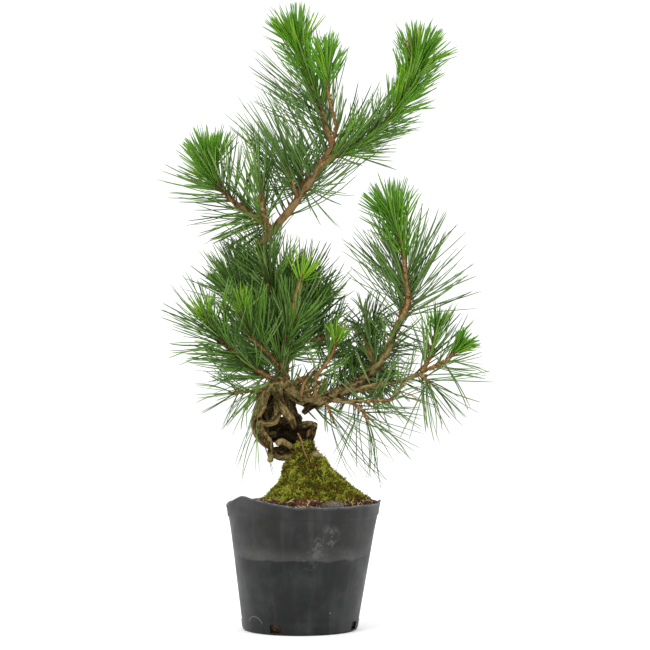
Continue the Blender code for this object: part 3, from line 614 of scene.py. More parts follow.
class Tint(Enum):
    """The colours that sprays of needles are dealt."""

    FRESH = PlainTint("needles_fresh", (0.190, 0.370, 0.018), 0.45, 0.15)
    NEW = PlainTint("needles_new", (0.088, 0.255, 0.012), 0.45, 0.15)
    MID = PlainTint("needles_mid", (0.125, 0.256, 0.036), 0.48, 0.15)
    PALE = PlainTint("needles_pale", (0.215, 0.330, 0.100), 0.48, 0.15)
    OLD = PlainTint("needles_old", (0.100, 0.194, 0.040), 0.48, 0.15)
    SOFT = PlainTint("needles_soft", (0.118, 0.212, 0.056), 0.50, 0.15)
    DEEP = PlainTint("needles_deep", (0.040, 0.090, 0.014), 0.50, 0.15)
    GREY = PlainTint("needles_grey", (0.148, 0.218, 0.088), 0.52, 0.15)
    DRY = PlainTint("needles_dry", (0.300, 0.190, 0.060), 0.70, 0.15)


class MossTint(Enum):
    """The colours that the shoots of moss are dealt."""

    LIGHT = PlainTint("moss_light", (0.440, 0.445, 0.056), 0.85, 0.1)
    GREEN = PlainTint("moss_green", (0.175, 0.220, 0.013), 0.85, 0.1)
    OLIVE = PlainTint("moss_olive", (0.095, 0.098, 0.009), 0.90, 0.1)
    GOLD = PlainTint("moss_gold", (0.230, 0.130, 0.012), 0.90, 0.1)
    BROWN = PlainTint("moss_brown", (0.080, 0.032, 0.010), 0.95, 0.1)


class GrainTint(Enum):
    """The colours that the granules of soil are dealt."""

    RED = PlainTint("grains_red", (0.095, 0.034, 0.026), 0.95, 0.1)
    BROWN = PlainTint("grains_brown", (0.085, 0.048, 0.028), 0.95, 0.1)
    TAN = PlainTint("grains_tan", (0.340, 0.225, 0.120), 0.95)
    DARK = PlainTint("grains_dark", (0.028, 0.018, 0.012), 0.95, 0.1)
    PURPLE = PlainTint("grains_purple", (0.150, 0.050, 0.052), 0.95, 0.1)


ROOT_BARK = Bark("root_bark", (0.024, 0.015, 0.0045), (0.098, 0.069, 0.024), (0.285, 0.212, 0.086),
                 (0.150, 0.116, 0.050))
SCALY_BARK = Bark("scaly_bark", (0.016, 0.009, 0.003), (0.098, 0.071, 0.024), (0.235, 0.178, 0.072),
                  (0.135, 0.108, 0.048))
TWIG_BARK = Bark("twig_bark", (0.050, 0.024, 0.009), (0.205, 0.112, 0.040), (0.420, 0.270, 0.120),
                 (0.160, 0.108, 0.048))
TWIG_SCALES = PlainTint("twig_scales", (0.195, 0.100, 0.038), 0.8)
BUDS = PlainTint("buds", (0.380, 0.235, 0.120), 0.7)
SHEATHS = PlainTint("needle_sheaths", (0.135, 0.062, 0.030), 0.8)
STRAW = PlainTint("dry_straw", (0.520, 0.390, 0.180), 0.8)
SOIL = Crumbly("loose_soil", (0.010, 0.007, 0.004), (0.036, 0.022, 0.013), (0.100, 0.062, 0.036), 1.8)
MOSS_GROUND = Crumbly("moss_ground", (0.010, 0.010, 0.002), (0.030, 0.036, 0.003), (0.070, 0.075, 0.005), 2.5)
PUMICE = Crumbly("pumice", (0.036, 0.028, 0.024), (0.092, 0.074, 0.064), (0.180, 0.152, 0.132), 1.4)

FINISHED = {}


def dress(piece: Thing, finish: object, slot: str, *nodes: str) -> None:
    """Give a piece its finish and its body, and hide the nodes that it stands for.

    Args:
        piece: The object.
        finish: Its finish, which builds a material.
        slot: The record's material slot; not used.
        *nodes: The CAD nodes that aren't shown.
    """
    if finish not in FINISHED:
        FINISHED[finish] = finish.material()
    piece.data.materials.clear()
    piece.data.materials.append(FINISHED[finish])
    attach(piece, BODY)
    if nodes:
        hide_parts(*nodes)
    log.info("%s: %d faces", piece.name, len(piece.data.polygons))


# Limbs.

@dataclass(frozen=True)
class Span:
    """One stretch of a limb: where its end lies from its start, and how its middle bows."""

    reach: tuple
    bow: tuple = (0.0, 0.0, 0.0)


class Limb:
    """A chain of spans with a radius at each joint, placed by how far along it a point lies."""

    SAMPLES = 24

    def __init__(self, foot: tuple, spans: tuple, radii: tuple) -> None:
        """Lay the limb out.

        Args:
            foot: Where it starts.
            spans: Its stretches.
            radii: Its radius at each joint, one more than the stretches.
        """
        points = [vector(foot)]
        widths = [radii[0]]
        for span, thick, thin in zip(spans, radii, radii[1:]):
            start = points[-1]
            for step in range(1, self.SAMPLES + 1):
                share = step / self.SAMPLES
                bow = vector(span.bow) * 4.0 * share * (1.0 - share)
                points.append(start + vector(span.reach) * share + bow)
                widths.append(thick + (thin - thick) * share)
        self.points = np.array(points)
        self.widths = np.array(widths)
        steps = np.linalg.norm(np.diff(self.points, axis=0), axis=1)
        self.places = np.concatenate([[0.0], np.cumsum(steps)])
        self.length = float(self.places[-1])

    def at(self, shares: Rows) -> Rows:
        """The points that lie these shares of the way along, one a row."""
        places = np.asarray(shares, dtype=float) * self.length
        return np.stack([np.interp(places, self.places, self.points[:, axis]) for axis in range(3)], axis=-1)

    def headings(self, shares: Rows) -> Rows:
        """The ways the limb runs there, one a row."""
        shares = np.asarray(shares, dtype=float)
        return unit(self.at(np.minimum(1.0, shares + 0.02)) - self.at(np.maximum(0.0, shares - 0.02)))

    def radii(self, shares: Rows) -> Rows:
        """The limb's radii there."""
        return np.interp(np.asarray(shares, dtype=float) * self.length, self.places, self.widths)

    def shares(self, spacing: float) -> Rows:
        """Even shares along the limb, about a spacing apart."""
        return np.linspace(0.0, 1.0, max(3, round(self.length / spacing) + 1))


@dataclass(frozen=True)
class Bough:
    """A limb that leaves another one."""

    name: str
    parent: str
    share: float
    spans: tuple
    radii: tuple


SOIL_TOP = 121.5
COLUMN_FOOT = 121.8

TRUNK = Limb((5, 0, COLUMN_FOOT), (
    Span((-1, 0, 57.7)),
    Span((-8, 2, 24)),
    Span((-7, 1, 22)),
    Span((-7, -3, 24), (0, 1, 0)),
    Span((-22, 0, 135), (5, 4, 0)),
    Span((73, 5, 97.5), (2, 0, -2))), (8, 8, 6.2, 5.4, 7.6, 4.5, 3.2))

ROOTS = (
    Limb((-22, -4, 244), (
        Span((-17, -4, -20), (-4, 0, 3)),
        Span((-4, 1, -20), (-2, 0, 0)),
        Span((14, 2, -22), (-3, 0, -2))), (7, 5.6, 5.2, 3)),
    Limb((-25, -6, 240), (
        Span((3, -4, -22), (2, -3, 0)),
        Span((-18, -2, -11), (4, -1, -5)),
        Span((9, 0, -20), (-3, 0, 1)),
        Span((1, 0, -19), (2, 0, 0))), (4.6, 4.2, 4, 4.2, 2.6)),
    Limb((-23, -4, 242), (
        Span((10, -5, -28), (-2, -5, 0)),
        Span((7, 3, -16), (2, 0, 0))), (5.4, 4.2, 3.4)),
    Limb((-16, 3, 243), (
        Span((7, 2, -24), (3, 0, 0)),
        Span((4, -2, -24))), (4.6, 4, 4.4)),
    Limb((-29, -11, 178), (
        Span((9, 2, -6), (0, 0, -1.5)),
        Span((16, 7, 3), (0, 0, -1))), (3.2, 3.4, 3.4)),
    Limb((-23, -9, 185), (
        Span((8, 0, 2), (0, 0, 2)),
        Span((12, 6, -8))), (3.2, 3.4, 3.4)),
    Limb((-22, 5, 242), (
        Span((-10, 11, -24), (-4, 3, 0)),
        Span((16, -4, -36), (-5, 4, 0))), (6, 4.8, 4)),
    Limb((-12, 6, 246), (
        Span((4, 12, -24), (2, 3, 0)),
        Span((2, -8, -34), (3, 3, 0))), (5, 4.4, 4)),
)

# The rotten stump that the roots clasp: a bent arm to the right, and wood behind the roots that is painted
# near black, as rotten wood and as painted shade.
STUMP = (
    Limb((-6, -1, 200), (
        Span((19.5, -3, 3), (0, 0, 1)),
        Span((-6.5, 0.5, -19), (2, 0, 0))), (4.4, 4, 2.8)),
    Limb((0, 4, 205), (
        Span((-32, 3, -5), (0, 2, 2)),), (9, 5)),
    Limb((-15, 7, 236), (
        Span((-13, 2, -22)),
        Span((3, -1, -18))), (7, 7.5, 6)),
    Limb((0, 4, 191), (
        Span((-33, 2, 0), (0, 0, 1)),), (7.5, 6)),
    Limb((0, 3, 199), (
        Span((10, -3.5, -7)),), (7.5, 6.5)),
    Limb((-26, 7, 236), (
        Span((-10, -2, -22)),
        Span((0, 0, -22))), (5, 5.5, 5.5)),
    Limb((4, 4, 180), (
        Span((-31, -1, -3), (0, 0, -1)),), (7, 5)),
)

# A nub that stands out of the moss, and dead twigs: in front of the stump and in the right fork.
NUB = Limb((9, -5, 171), (Span((9.5, -3, 5.5)),), (4.6, 4))
DEAD_TWIGS = (
    Limb((-2, -12, 196), (
        Span((4, -2, -8)),
        Span((7, -4, -20), (-1, 0, 0))), (0.9, 0.8, 0.6)),
    Limb((-10, 3, 240), (
        Span((16, 3, 10), (0, 0, 2)),
        Span((14, 0, -5))), (3.6, 3, 2.2)),
    Limb((2, -6, 228), (
        Span((4, 2, 20), (-2, 0, 0)),
        Span((9, 2, 10))), (2, 1.5, 1.1)),
    Limb((10, -6, 230), (
        Span((-6, 4, 16), (0, 0, 2)),
        Span((-8, 2, 9))), (1.7, 1.3, 0.9)),
    Limb((22, -7, 228), (
        Span((4, 6, 22), (2, 0, 0)),), (1.6, 1)),
)

# The broken stub under the elbow of the right bough.
STUB_LIMB = Limb((13, -7, 223), (
    Span((-10, -2, -8), (0, 0, 1)),), (4.4, 2.8))

# Limbs that are half rotten.
WEATHERED = (STUMP[0], ROOTS[4])

BOUGHS = (
    Bough("left_bough", "trunk", 0.735, (Span((-38, 8, 28)),), (3.4, 2.9)),
    Bough("right_bough", "trunk", 0.318, (
        Span((30, -8, -17), (0, 0, -3)),
        Span((51, 4, 24), (0, 0, -1))), (6.8, 6, 4.4)),
    Bough("right_rise_bough", "right_bough", 1, (
        Span((35, 9, 58), (3, 0, -3)),), (4.2, 3.2)),
    Bough("right_level_bough", "right_bough", 0.62, (
        Span((42, -9, 9), (0, 0, -1)),
        Span((52, -12.5, 16.5), (0, 0, -2.5))), (3.2, 2.5, 1.9)),
    Bough("low_right_bough", "right_bough", 0.54, (
        Span((40, -16, -3), (0, 0, -2)),), (2.2, 1.8)),
)


# Masses of needles.

@dataclass(frozen=True)
class Spray:
    """Needles round a stretch of a limb: where, how many pairs, their length, pitch, tints and pull.

    A crowding under one gathers them at the tip. A front under one leaves out those that point
    more towards the viewer than that. The width multiplies the usual one.
    """

    start: float
    end: float
    count: int
    length: float
    pitch_low: float
    pitch_tip: float
    tints: tuple = ()
    pull: tuple = (0.0, 0.0, 0.2)
    scatter: float = 6.0
    crowding: float = 1.0
    front: float = 1.0
    width: float = 1.0


@dataclass(frozen=True)
class Mass:
    """A mass of foliage: the stem, how many side twigs it has, its needles, and how far they reach
    in among those of other masses."""

    name: str
    parent: str
    share: float
    spans: tuple
    sprays: tuple
    twigs: int = 0
    radius: float = 2.7
    seed: int = 1
    interlock: float = 14.0


NEW_TINTS = (Tint.NEW, Tint.FRESH, Tint.NEW, Tint.MID, Tint.NEW)
TIP_TINTS = (Tint.FRESH, Tint.NEW, Tint.FRESH)
OLD_TINTS = (Tint.OLD, Tint.MID, Tint.DEEP, Tint.OLD, Tint.PALE, Tint.MID, Tint.DEEP)
BRUSH_TINTS = (Tint.SOFT, Tint.OLD, Tint.DEEP, Tint.OLD)
GREY_TINTS = (Tint.GREY, Tint.OLD, Tint.DEEP, Tint.SOFT, Tint.OLD)
SOFT_TINTS = (Tint.SOFT, Tint.OLD, Tint.SOFT, Tint.MID)
WEB_TINTS = (Tint.OLD, Tint.DEEP, Tint.GREY, Tint.MID)
DEAD_TINTS = (Tint.DEEP, Tint.DRY, Tint.OLD)
UPWARD = (0, 0, 0.35)


def tuft(count: int, start: float = 0.5, length: float = 42.0, spread: float = 46.0,
         tints: tuple = NEW_TINTS) -> tuple:
    """This year's needles: along the last stretch of a shoot, and opening wide at its tip."""
    along = round(count * 0.55)
    stretch = Spray(start, 0.95, along, length, 38.0, 32.0, tints, (0.0, 0.0, 0.12), 9.0, 0.8, width=1.15)
    end = Spray(0.96, 1.0, count - along, length, spread, 16.0, tints, (0.0, 0.0, 0.0), 8.0, width=1.15)
    return stretch, end


def whorl(count: int, start: float, end: float, length: float, low: float = 60.0, tip: float = 34.0,
          tints: tuple = OLD_TINTS, pull: tuple = UPWARD, scatter: float = 8.0, width: float = 1.0,
          front: float = 1.0) -> Spray:
    """Older needles: long, round the wood below the tuft."""
    return Spray(start, end, count, length, low, tip, tints, pull, scatter, 1.0, front, width)


MASSES = (
    Mass("top_left_foliage", "trunk", 1, (Span((-16, 10, 50)), Span((-20, 7, 54))),
         (whorl(44, 0.02, 0.44, 92, 54, 42, BRUSH_TINTS, (-0.35, 0, 0.35), 6, 0.95),
          whorl(20, 0.34, 0.56, 26, 40, 34, TIP_TINTS), *tuft(116, 0.48, 46, 46)), seed=3),
    Mass("top_middle_foliage", "trunk", 0.995, (
        Span((4, -12, 22)), Span((-7, -6, 28)), Span((-2, -4, 30))),
         (whorl(8, 0.1, 0.5, 44, 40, 30), *tuft(48, 0.70, 38, 38)), 0, 1.8, 5),
    Mass("top_right_foliage", "trunk", 0.97, (
        Span((55, 4, 31), (0, 0, -6)), Span((36, 3, 64), (5, 0, -4))),
         (whorl(40, 0.06, 0.40, 60, 46, 40, SOFT_TINTS, (0.15, 0, 0.35), 10),
          whorl(26, 0.04, 0.22, 50, 46, 40, NEW_TINTS, (-0.30, 0, 0.50)),
          whorl(48, 0.34, 0.72, 46, 44, 40, NEW_TINTS, (0, 0, 0.2)), *tuft(150, 0.56, 48, 50)),
         seed=7),
    Mass("leader_left_foliage", "trunk", 0.84, (Span((-10, -12, 28)),),
         (whorl(24, 0.2, 1, 92, 50, 16, BRUSH_TINTS, (-0.60, 0, 0.55), 5, 0.95),),
         radius=1.5, seed=11),
    Mass("leader_right_foliage", "trunk", 0.94, (Span((24, -10, 20), (0, 0, -2)),),
         (whorl(24, 0.15, 1, 56, 52, 24, SOFT_TINTS, (0.1, 0, 0.4)),), seed=13),
    Mass("leader_back_foliage", "trunk", 0.87, (Span((-8, 46, 30), (0, 4, -4)),),
         (whorl(40, 0.2, 0.7, 78), *tuft(36, 0.7, 36)), 1, seed=17),
    Mass("left_foliage", "left_bough", 1, (
        Span((-15, 4, 16)), Span((-9, 0, 17), (-2, 0, 0))),
         (whorl(28, 0.02, 0.5, 66, 62, 46, pull=(0, 0, 0.15)), *tuft(100, 0.38, 47, 48)), seed=19),
    Mass("inner_left_foliage", "trunk", 0.728, (Span((-7, -18, 20)), Span((-3, -3, 32))),
         (whorl(34, 0.15, 1, 62, 54, 12, scatter=10),), seed=23),
    Mass("right_top_foliage", "right_rise_bough", 1, (
        Span((6, -1, 36), (5, 0, 0)), Span((-12, -4, 66), (3, 0, 0))),
         (whorl(134, 0.02, 0.46, 84, 66, 36, GREY_TINTS, (-0.08, 0, 0.35), 11, front=0.35),
          *tuft(88, 0.56, 48, 56)), seed=29),
    Mass("right_end_foliage", "right_level_bough", 1, (Span((18, -2, 9)), Span((11, -2, 12))),
         (whorl(14, 0.1, 0.6, 54, 70, 44, SOFT_TINTS, (0.1, 0, 0.05), 20), *tuft(34, 0.66, 26)),
         radius=2.2, seed=31),
    Mass("right_middle_foliage", "right_level_bough", 0.93, (
        Span((10, 8, 20)), Span((5, 2, 26))),
         (whorl(30, 0.1, 0.8, 46, 50, 26, scatter=12), *tuft(14, 0.85, 22)), 0, 2.3, 37),
    Mass("right_hanging_foliage", "right_level_bough", 0.9, (Span((9, -9, -9)),),
         (whorl(18, 0.2, 1, 66, 76, 24, BRUSH_TINTS, (0.10, 0, -0.35), 22, 0.85),), 0, 2, 41, 30),
    Mass("right_inner_foliage", "right_bough", 0.44, (
        Span((-2, -4, 26), (-2, 0, 0)), Span((20, -4, 36), (4, 0, 0))),
         (whorl(48, 0.35, 0.85, 40, 62, 34, scatter=22, front=0.3), *tuft(14, 0.86, 24, 50, TIP_TINTS)),
         0, 1.9, 43),
    Mass("right_back_foliage", "right_rise_bough", 0.2, (
        Span((-6, 28, 26)), Span((-10, 20, 16))),
         (whorl(66, 0.05, 0.95, 50, 92, 80, WEB_TINTS, (0.15, 0, 0), 38),), 2, 2, 47),
    Mass("right_back_low_foliage", "right_bough", 0.8, (
        Span((14, 44, 12), (0, 0, -4)), Span((12, 14, 16))),
         (whorl(80, 0.05, 0.95, 48, 92, 80, WEB_TINTS, (0.1, 0, 0), 38),), 2, 2, 53),
    Mass("low_right_foliage", "low_right_bough", 1, (Span((23, -6, 1)), Span((12, -4, 15))),
         (whorl(22, 0.02, 0.95, 50, 74, 40, SOFT_TINTS, (0.05, 0, -0.05), 28, 0.75),), 0, 1.6, 59),
    Mass("low_hanging_foliage", "low_right_bough", 0.55, (Span((18, -5, -17), (2, 0, 2)),),
         (whorl(15, 0.3, 1, 76, 72, 26, BRUSH_TINTS, (0.10, 0, -0.50), 26, 0.75),), 0, 1.5, 61, 40),
    Mass("elbow_hanging_foliage", "right_bough", 0.52, (Span((6, -8, -18)),),
         (whorl(13, 0.5, 1, 98, 58, 20, BRUSH_TINTS, (0.55, 0, -0.20), 22, 0.7, 0.8),), 0, 1.3, 67, 60),
    Mass("front_left_foliage", "trunk", 0.36, (
        Span((-30, -32, 31), (0, 0, 2)), Span((-8, -10, 29), (-2, 0, 0))),
         (whorl(120, 0.10, 0.72, 66, 64, 38, scatter=20, front=0.8),
          *tuft(18, 0.93, 30, 52, TIP_TINTS)), 0, 1.7, 71),
    Mass("outer_left_foliage", "trunk", 0.325, (
        Span((-40, -30, 24), (0, 0, -2)), Span((-36, -20, 44), (-2, 0, -2))),
         (whorl(136, 0.08, 0.86, 62, 62, 36, pull=(-0.05, -0.10, 0.25), scatter=20, front=0.9),
          *tuft(18, 0.93, 30, 52, TIP_TINTS)), 0, 1.7, 73),
    Mass("back_left_foliage", "trunk", 0.42, (Span((-30, 24, 34)), Span((-22, 16, 26))),
         (whorl(96, 0.1, 0.85, 66, scatter=12), *tuft(34, 0.85, 34)), 2, seed=79),
    Mass("front_foliage", "trunk", 0.375, (
        Span((12, -22, 42), (-3, 0, 0)), Span((9, -7, 42), (-3, 0, 0))),
         (whorl(100, 0.02, 0.50, 60, 60, 34, pull=(-0.12, 0, 0.35), scatter=14),
          *tuft(14, 0.95, 34, 52, TIP_TINTS)), 0, 2.4, 83),
    Mass("low_left_foliage", "trunk", 0.34, (Span((-20, -12, -12)), Span((-30, -6, -3))),
         (whorl(30, 0.15, 1, 52, 88, 34, pull=(-0.20, 0, -0.05), scatter=34, width=0.8),), 0, 1.7, 89),
    Mass("back_foliage", "trunk", 0.44, (Span((4, 31, 25)), Span((-2, 25, 27))),
         (whorl(100, 0.1, 0.85, 70, scatter=12), *tuft(34, 0.85, 34)), 2, seed=97),
    Mass("back_right_foliage", "trunk", 0.38, (Span((22, 28, 26)), Span((14, 22, 34))),
         (whorl(90, 0.1, 0.85, 62, scatter=14), *tuft(32, 0.85, 32)), 2, seed=101),
    Mass("back_low_foliage", "trunk", 0.33, (Span((-24, 36, 6)), Span((-14, 20, 12))),
         (whorl(66, 0.25, 0.9, 56, 72, 36, scatter=14), *tuft(24, 0.9, 28)), 1, seed=103),
)

# Needles that stand on the trunk and the boughs themselves.
BARE_WOOD = (
    ("trunk", 211, Spray(0.77, 0.998, 74, 104, 66, 54, BRUSH_TINTS, (-0.75, 0.05, 0.85), 5, 0.85, 0.45, 1)),
    ("trunk", 223, Spray(0.42, 0.66, 150, 56, 58, 52, OLD_TINTS, (-0.05, -0.10, 0.4), 12)),
    ("trunk", 241, Spray(0.34, 0.44, 80, 50, 54, 50, OLD_TINTS, (-0.1, -0.5, 0.5), 16)),
    ("left_bough", 227, Spray(0.10, 0.95, 26, 62, 66, 60, OLD_TINTS, (-0.15, 0, 0.3), 9, 1, 0.6)),
    ("left_bough", 251, Spray(0.05, 0.60, 30, 58, 60, 56, OLD_TINTS, (-0.35, 0, -0.30), 14, 1, 0.5)),
    ("right_bough", 269, Spray(0.04, 0.45, 40, 46, 74, 60, WEB_TINTS, (-0.05, 0.3, 0.5), 24, 1, 0.2)),
    ("right_bough", 271, Spray(0.02, 0.42, 60, 34, 60, 50, DEAD_TINTS, (-0.1, 0.2, 0.8), 26, 1, 0.4)),
    ("right_bough", 257, Spray(0.50, 1, 54, 40, 70, 60, WEB_TINTS, (0, 0.35, 0.25), 26, 1, 0.15)),
    ("right_rise_bough", 229, Spray(0.05, 0.95, 90, 44, 66, 50, WEB_TINTS, (0, 0.35, 0.1), 24, 1, 0.15)),
    ("right_level_bough", 233, Spray(0.35, 0.95, 34, 44, 70, 60, WEB_TINTS, (0.05, 0.2, 0.1), 24, 1, 0)),
    ("outer_root", 263, Spray(0.45, 0.80, 7, 62, 90, 90, SOFT_TINTS, (0, 0, -2.5), 8, 1, 1, 0.65)),
    ("low_right_bough", 239, Spray(0.2, 0.95, 16, 40, 70, 60, WEB_TINTS, (0.1, 0.2, 0.05), 26, 1, 0.1)),
)


# The pot and what fills it.

@dataclass
class Pot:
    """The soft plastic pot: a tapering wall with a band at its foot and a collar at its rim."""

    foot_radius: float = 57.0
    collar_radius: float = 74.0
    rim_radius: float = 76.0
    collar_height: float = 114.0
    rim_height: float = 126.5
    wall: float = 1.3
    foot_rounding: float = 1.4
    band_height: float = 10.5
    band_step: float = 0.5
    collar_step: float = 0.9
    lean: float = 3.5
    steps: int = 160
    swells: tuple = ((-147.0, 30.0, 8.5, 5.0), (-120.0, 26.0, 5.0, 0.0), (-178.0, 22.0, -2.5, -1.5),
                     (-2.0, 10.0, 2.5, -1.6), (95.0, 60.0, -1.5, 2.0))
    swell_start: float = 92.0
    waves: tuple = ((0.35, 7.0, 0.0), (0.25, 17.0, 1.0))
    scuff_and_lip_highlight_height: float = 1.6
    edge: float = 0.3
    window_count: int = 4
    window_first_angle: float = -113.8
    window_width: float = 11.5
    window_bottom: float = 2.3
    window_top: float = 10.2
    window_depth: float = 9.0

    def wall_radius(self, height: float) -> float:
        """Outer radius of the plain wall at a height."""
        return self.foot_radius + (self.collar_radius - self.foot_radius) * height / self.collar_height

    def shaped(self, points: Rows) -> Rows:
        """Lean points of the round pot and put those near its rim out of shape.

        Args:
            points: Points in millimetres, one a row.

        Returns:
            Where they end up.
        """
        x, y, z = points.T
        angles = np.degrees(np.arctan2(y, x))
        share = np.maximum(0.0, (z - self.swell_start) / (self.rim_height - self.swell_start)) ** 2
        rise = np.zeros(len(points))
        push = np.zeros(len(points))
        for centre, half_width, swell_rise, swell_push in self.swells:
            turn = (angles - centre + 180.0) % 360.0 - 180.0
            swell = np.where(np.abs(turn) < half_width, 0.5 + 0.5 * np.cos(np.pi * turn / half_width), 0.0)
            rise += swell_rise * swell * share
            push += swell_push * swell * share
        turns = np.radians(angles)
        rise += sum(high * np.sin(turns * number + phase) for high, number, phase in self.waves) * share
        radius = np.maximum(np.hypot(x, y), 0.001)
        scale = np.where(radius > 1.0, (radius - push) / radius, 1.0)
        return np.stack([x * scale + self.lean * z / self.rim_height, y * scale, z + rise], axis=1)

    def rings(self) -> list[tuple[float, float]]:
        """The outer wall from the foot up, as pairs of a radius and a height."""
        step_half = 0.5
        rings = [(self.foot_radius - self.foot_rounding, 0.0)]
        for turn in (30.0, 60.0, 90.0):
            angle = math.radians(turn)
            rings.append((self.foot_radius - self.foot_rounding * (1.0 - math.sin(angle)),
                          self.foot_rounding * (1.0 - math.cos(angle))))
        for height in np.linspace(3.0, self.band_height - step_half, 4):
            rings.append((self.wall_radius(height) + self.band_step, float(height)))
        rings.append((self.wall_radius(self.band_height), self.band_height + step_half))
        for height in np.linspace(14.0, self.collar_height - 2.0, 26):
            rings.append((self.wall_radius(height), float(height)))
        radius = self.wall_radius(self.collar_height) + self.collar_step
        height = self.collar_height + step_half
        rings.append((radius - self.collar_step, self.collar_height - step_half))
        for share in (0.0, 0.25, 0.5, 0.75, 0.9, 1.0):
            rings.append((radius + (self.rim_radius - radius) * share ** 2,
                          height + (self.rim_height - height) * share))
        return rings

    def build(self) -> None:
        """Model the pot and dress it."""
        pot = ringed("nursery_pot", self.rings(), self.steps)
        move_points(pot.data, self.shaped(points_of(pot.data)))
        apply_modifier(pot, "SOLIDIFY", thickness=self.wall * MM, offset=-1.0, use_even_offset=True)
        windows = self.window_cutter()
        apply_modifier(pot, "BOOLEAN", operation="DIFFERENCE", object=windows, solver="EXACT")
        bpy.data.objects.remove(windows, do_unlink=True)
        apply_modifier(pot, "BEVEL", width=self.edge * MM, segments=2, limit_method="ANGLE",
                       angle_limit=math.radians(50.0), harden_normals=False)
        activate(pot)
        bpy.ops.object.shade_smooth_by_angle(angle=math.radians(40.0))
        # How near each corner lies to the top of the rim, where a pale highlight is painted.
        points = points_of(pot.data)
        upright = np.stack([points[:, 0] - self.lean * points[:, 2] / self.rim_height, points[:, 1],
                            np.full(len(points), self.rim_height)], axis=1)
        rim = self.shaped(upright)[:, 2]
        mark_points(pot.data, "scuff_and_lip_highlight", np.clip(1.0 - (rim - points[:, 2]) / self.scuff_and_lip_highlight_height, 0.0, 1.0))
        dress(pot, PotPlastic(), "pot_plastic", "pot")

    def window_cutter(self) -> Thing:
        """The blocks that the drain windows are cut with, as one object."""
        blocks = []
        for index in range(self.window_count):
            angle = math.radians(self.window_first_angle + index * 360.0 / self.window_count)
            deselect()
            bpy.ops.mesh.primitive_cube_add(
                size=MM, rotation=(0.0, 0.0, angle),
                location=(self.foot_radius * math.cos(angle) * MM, self.foot_radius * math.sin(angle) * MM,
                          (self.window_bottom + self.window_top) / 2.0 * MM),
                scale=(self.window_depth, self.window_width, self.window_top - self.window_bottom))
            blocks.append(bpy.context.object)
        return joined("drain_windows", blocks)


def ringed(name: str, rings: list[tuple[float, float]], steps: int,
           close: bool = False) -> Thing:
    """A round form that starts as a disc and is extruded ring by ring.

    Args:
        name: The object's name.
        rings: Pairs of a radius and a height, the first one for the disc.
        steps: The number of corners of a ring.
        close: Whether the last ring is filled too.

    Returns:
        The object, at the origin.
    """
    deselect()
    radius, height = rings[0]
    bpy.ops.mesh.primitive_circle_add(vertices=steps, radius=radius * MM, fill_type="TRIFAN",
                                      location=(0.0, 0.0, height * MM))
    thing = bpy.context.object
    thing.name = name
    thing.data.name = name
    bpy.ops.object.transform_apply(location=True, rotation=True, scale=True)
    bpy.ops.object.mode_set(mode="EDIT")
    bpy.ops.mesh.select_all(action="SELECT")
    bpy.ops.mesh.region_to_loop()
    for (last_radius, last_height), (next_radius, next_height) in zip(rings, rings[1:]):
        bpy.ops.mesh.extrude_edges_move(
            TRANSFORM_OT_translate={"value": (0.0, 0.0, (next_height - last_height) * MM)})
        growth = next_radius / last_radius
        bpy.ops.transform.resize(value=(growth, growth, 1.0), center_override=(0.0, 0.0, next_height * MM))
    if close:
        bpy.ops.mesh.edge_face_add()
        bpy.ops.mesh.poke()
    bpy.ops.mesh.select_all(action="SELECT")
    bpy.ops.mesh.normals_make_consistent(inside=False)
    bpy.ops.object.mode_set(mode="OBJECT")
    settle(thing.data)
    return thing


def settle(mesh: bpy.types.Mesh) -> None:
    """Give corners and faces an order that is the same each run, which extruding doesn't.

    Args:
        mesh: The mesh, whose corners lie well apart.
    """
    points = points_of(mesh)
    order = np.lexsort(np.round(points, 2).T)
    ranks = np.argsort(order)
    faces = []
    for face in mesh.polygons:
        loop = ranks[list(face.vertices)].tolist()
        first = loop.index(min(loop))
        faces.append(loop[first:] + loop[:first])
    mesh.clear_geometry()
    mesh.from_pydata((points[order] * MM).tolist(), [], sorted(faces))


def joined(name: str, things: list[Thing]) -> Thing:
    """Several mesh objects made one, with their places in its mesh.

    Args:
        name: The object's name.
        things: The objects.

    Returns:
        The object.
    """
    activate(things[0])
    for thing in things:
        thing.select_set(True)
    if len(things) > 1:
        bpy.ops.object.join()
    thing = bpy.context.object
    thing.name = name
    thing.data.name = name
    bpy.ops.object.transform_apply(location=True, rotation=True, scale=True)
    return thing


def lumps(points: Rows, size: float, octaves: int = 3, seed: float = 0.0) -> Rows:
    """Smooth noise at points.

    Args:
        points: Points in millimetres, one a row.
        size: The size of the lumps in millimetres.
        octaves: How many finer layers are added.
        seed: Shifts the pattern.

    Returns:
        A value from about -1 to 1 for each point.
    """
    shift = Vector((seed, -seed, 0.5 * seed))
    return np.array([noise.fractal(Vector(point) + shift, 0.9, 2.1, octaves) for point in points / size])


def spread(values: Rows) -> Rows:
    """The values stretched to run from 0 to 1, less the outermost few."""
    low, high = np.percentile(values, (4.0, 96.0))
    return np.clip((values - low) / (high - low), 0.0, 1.0)


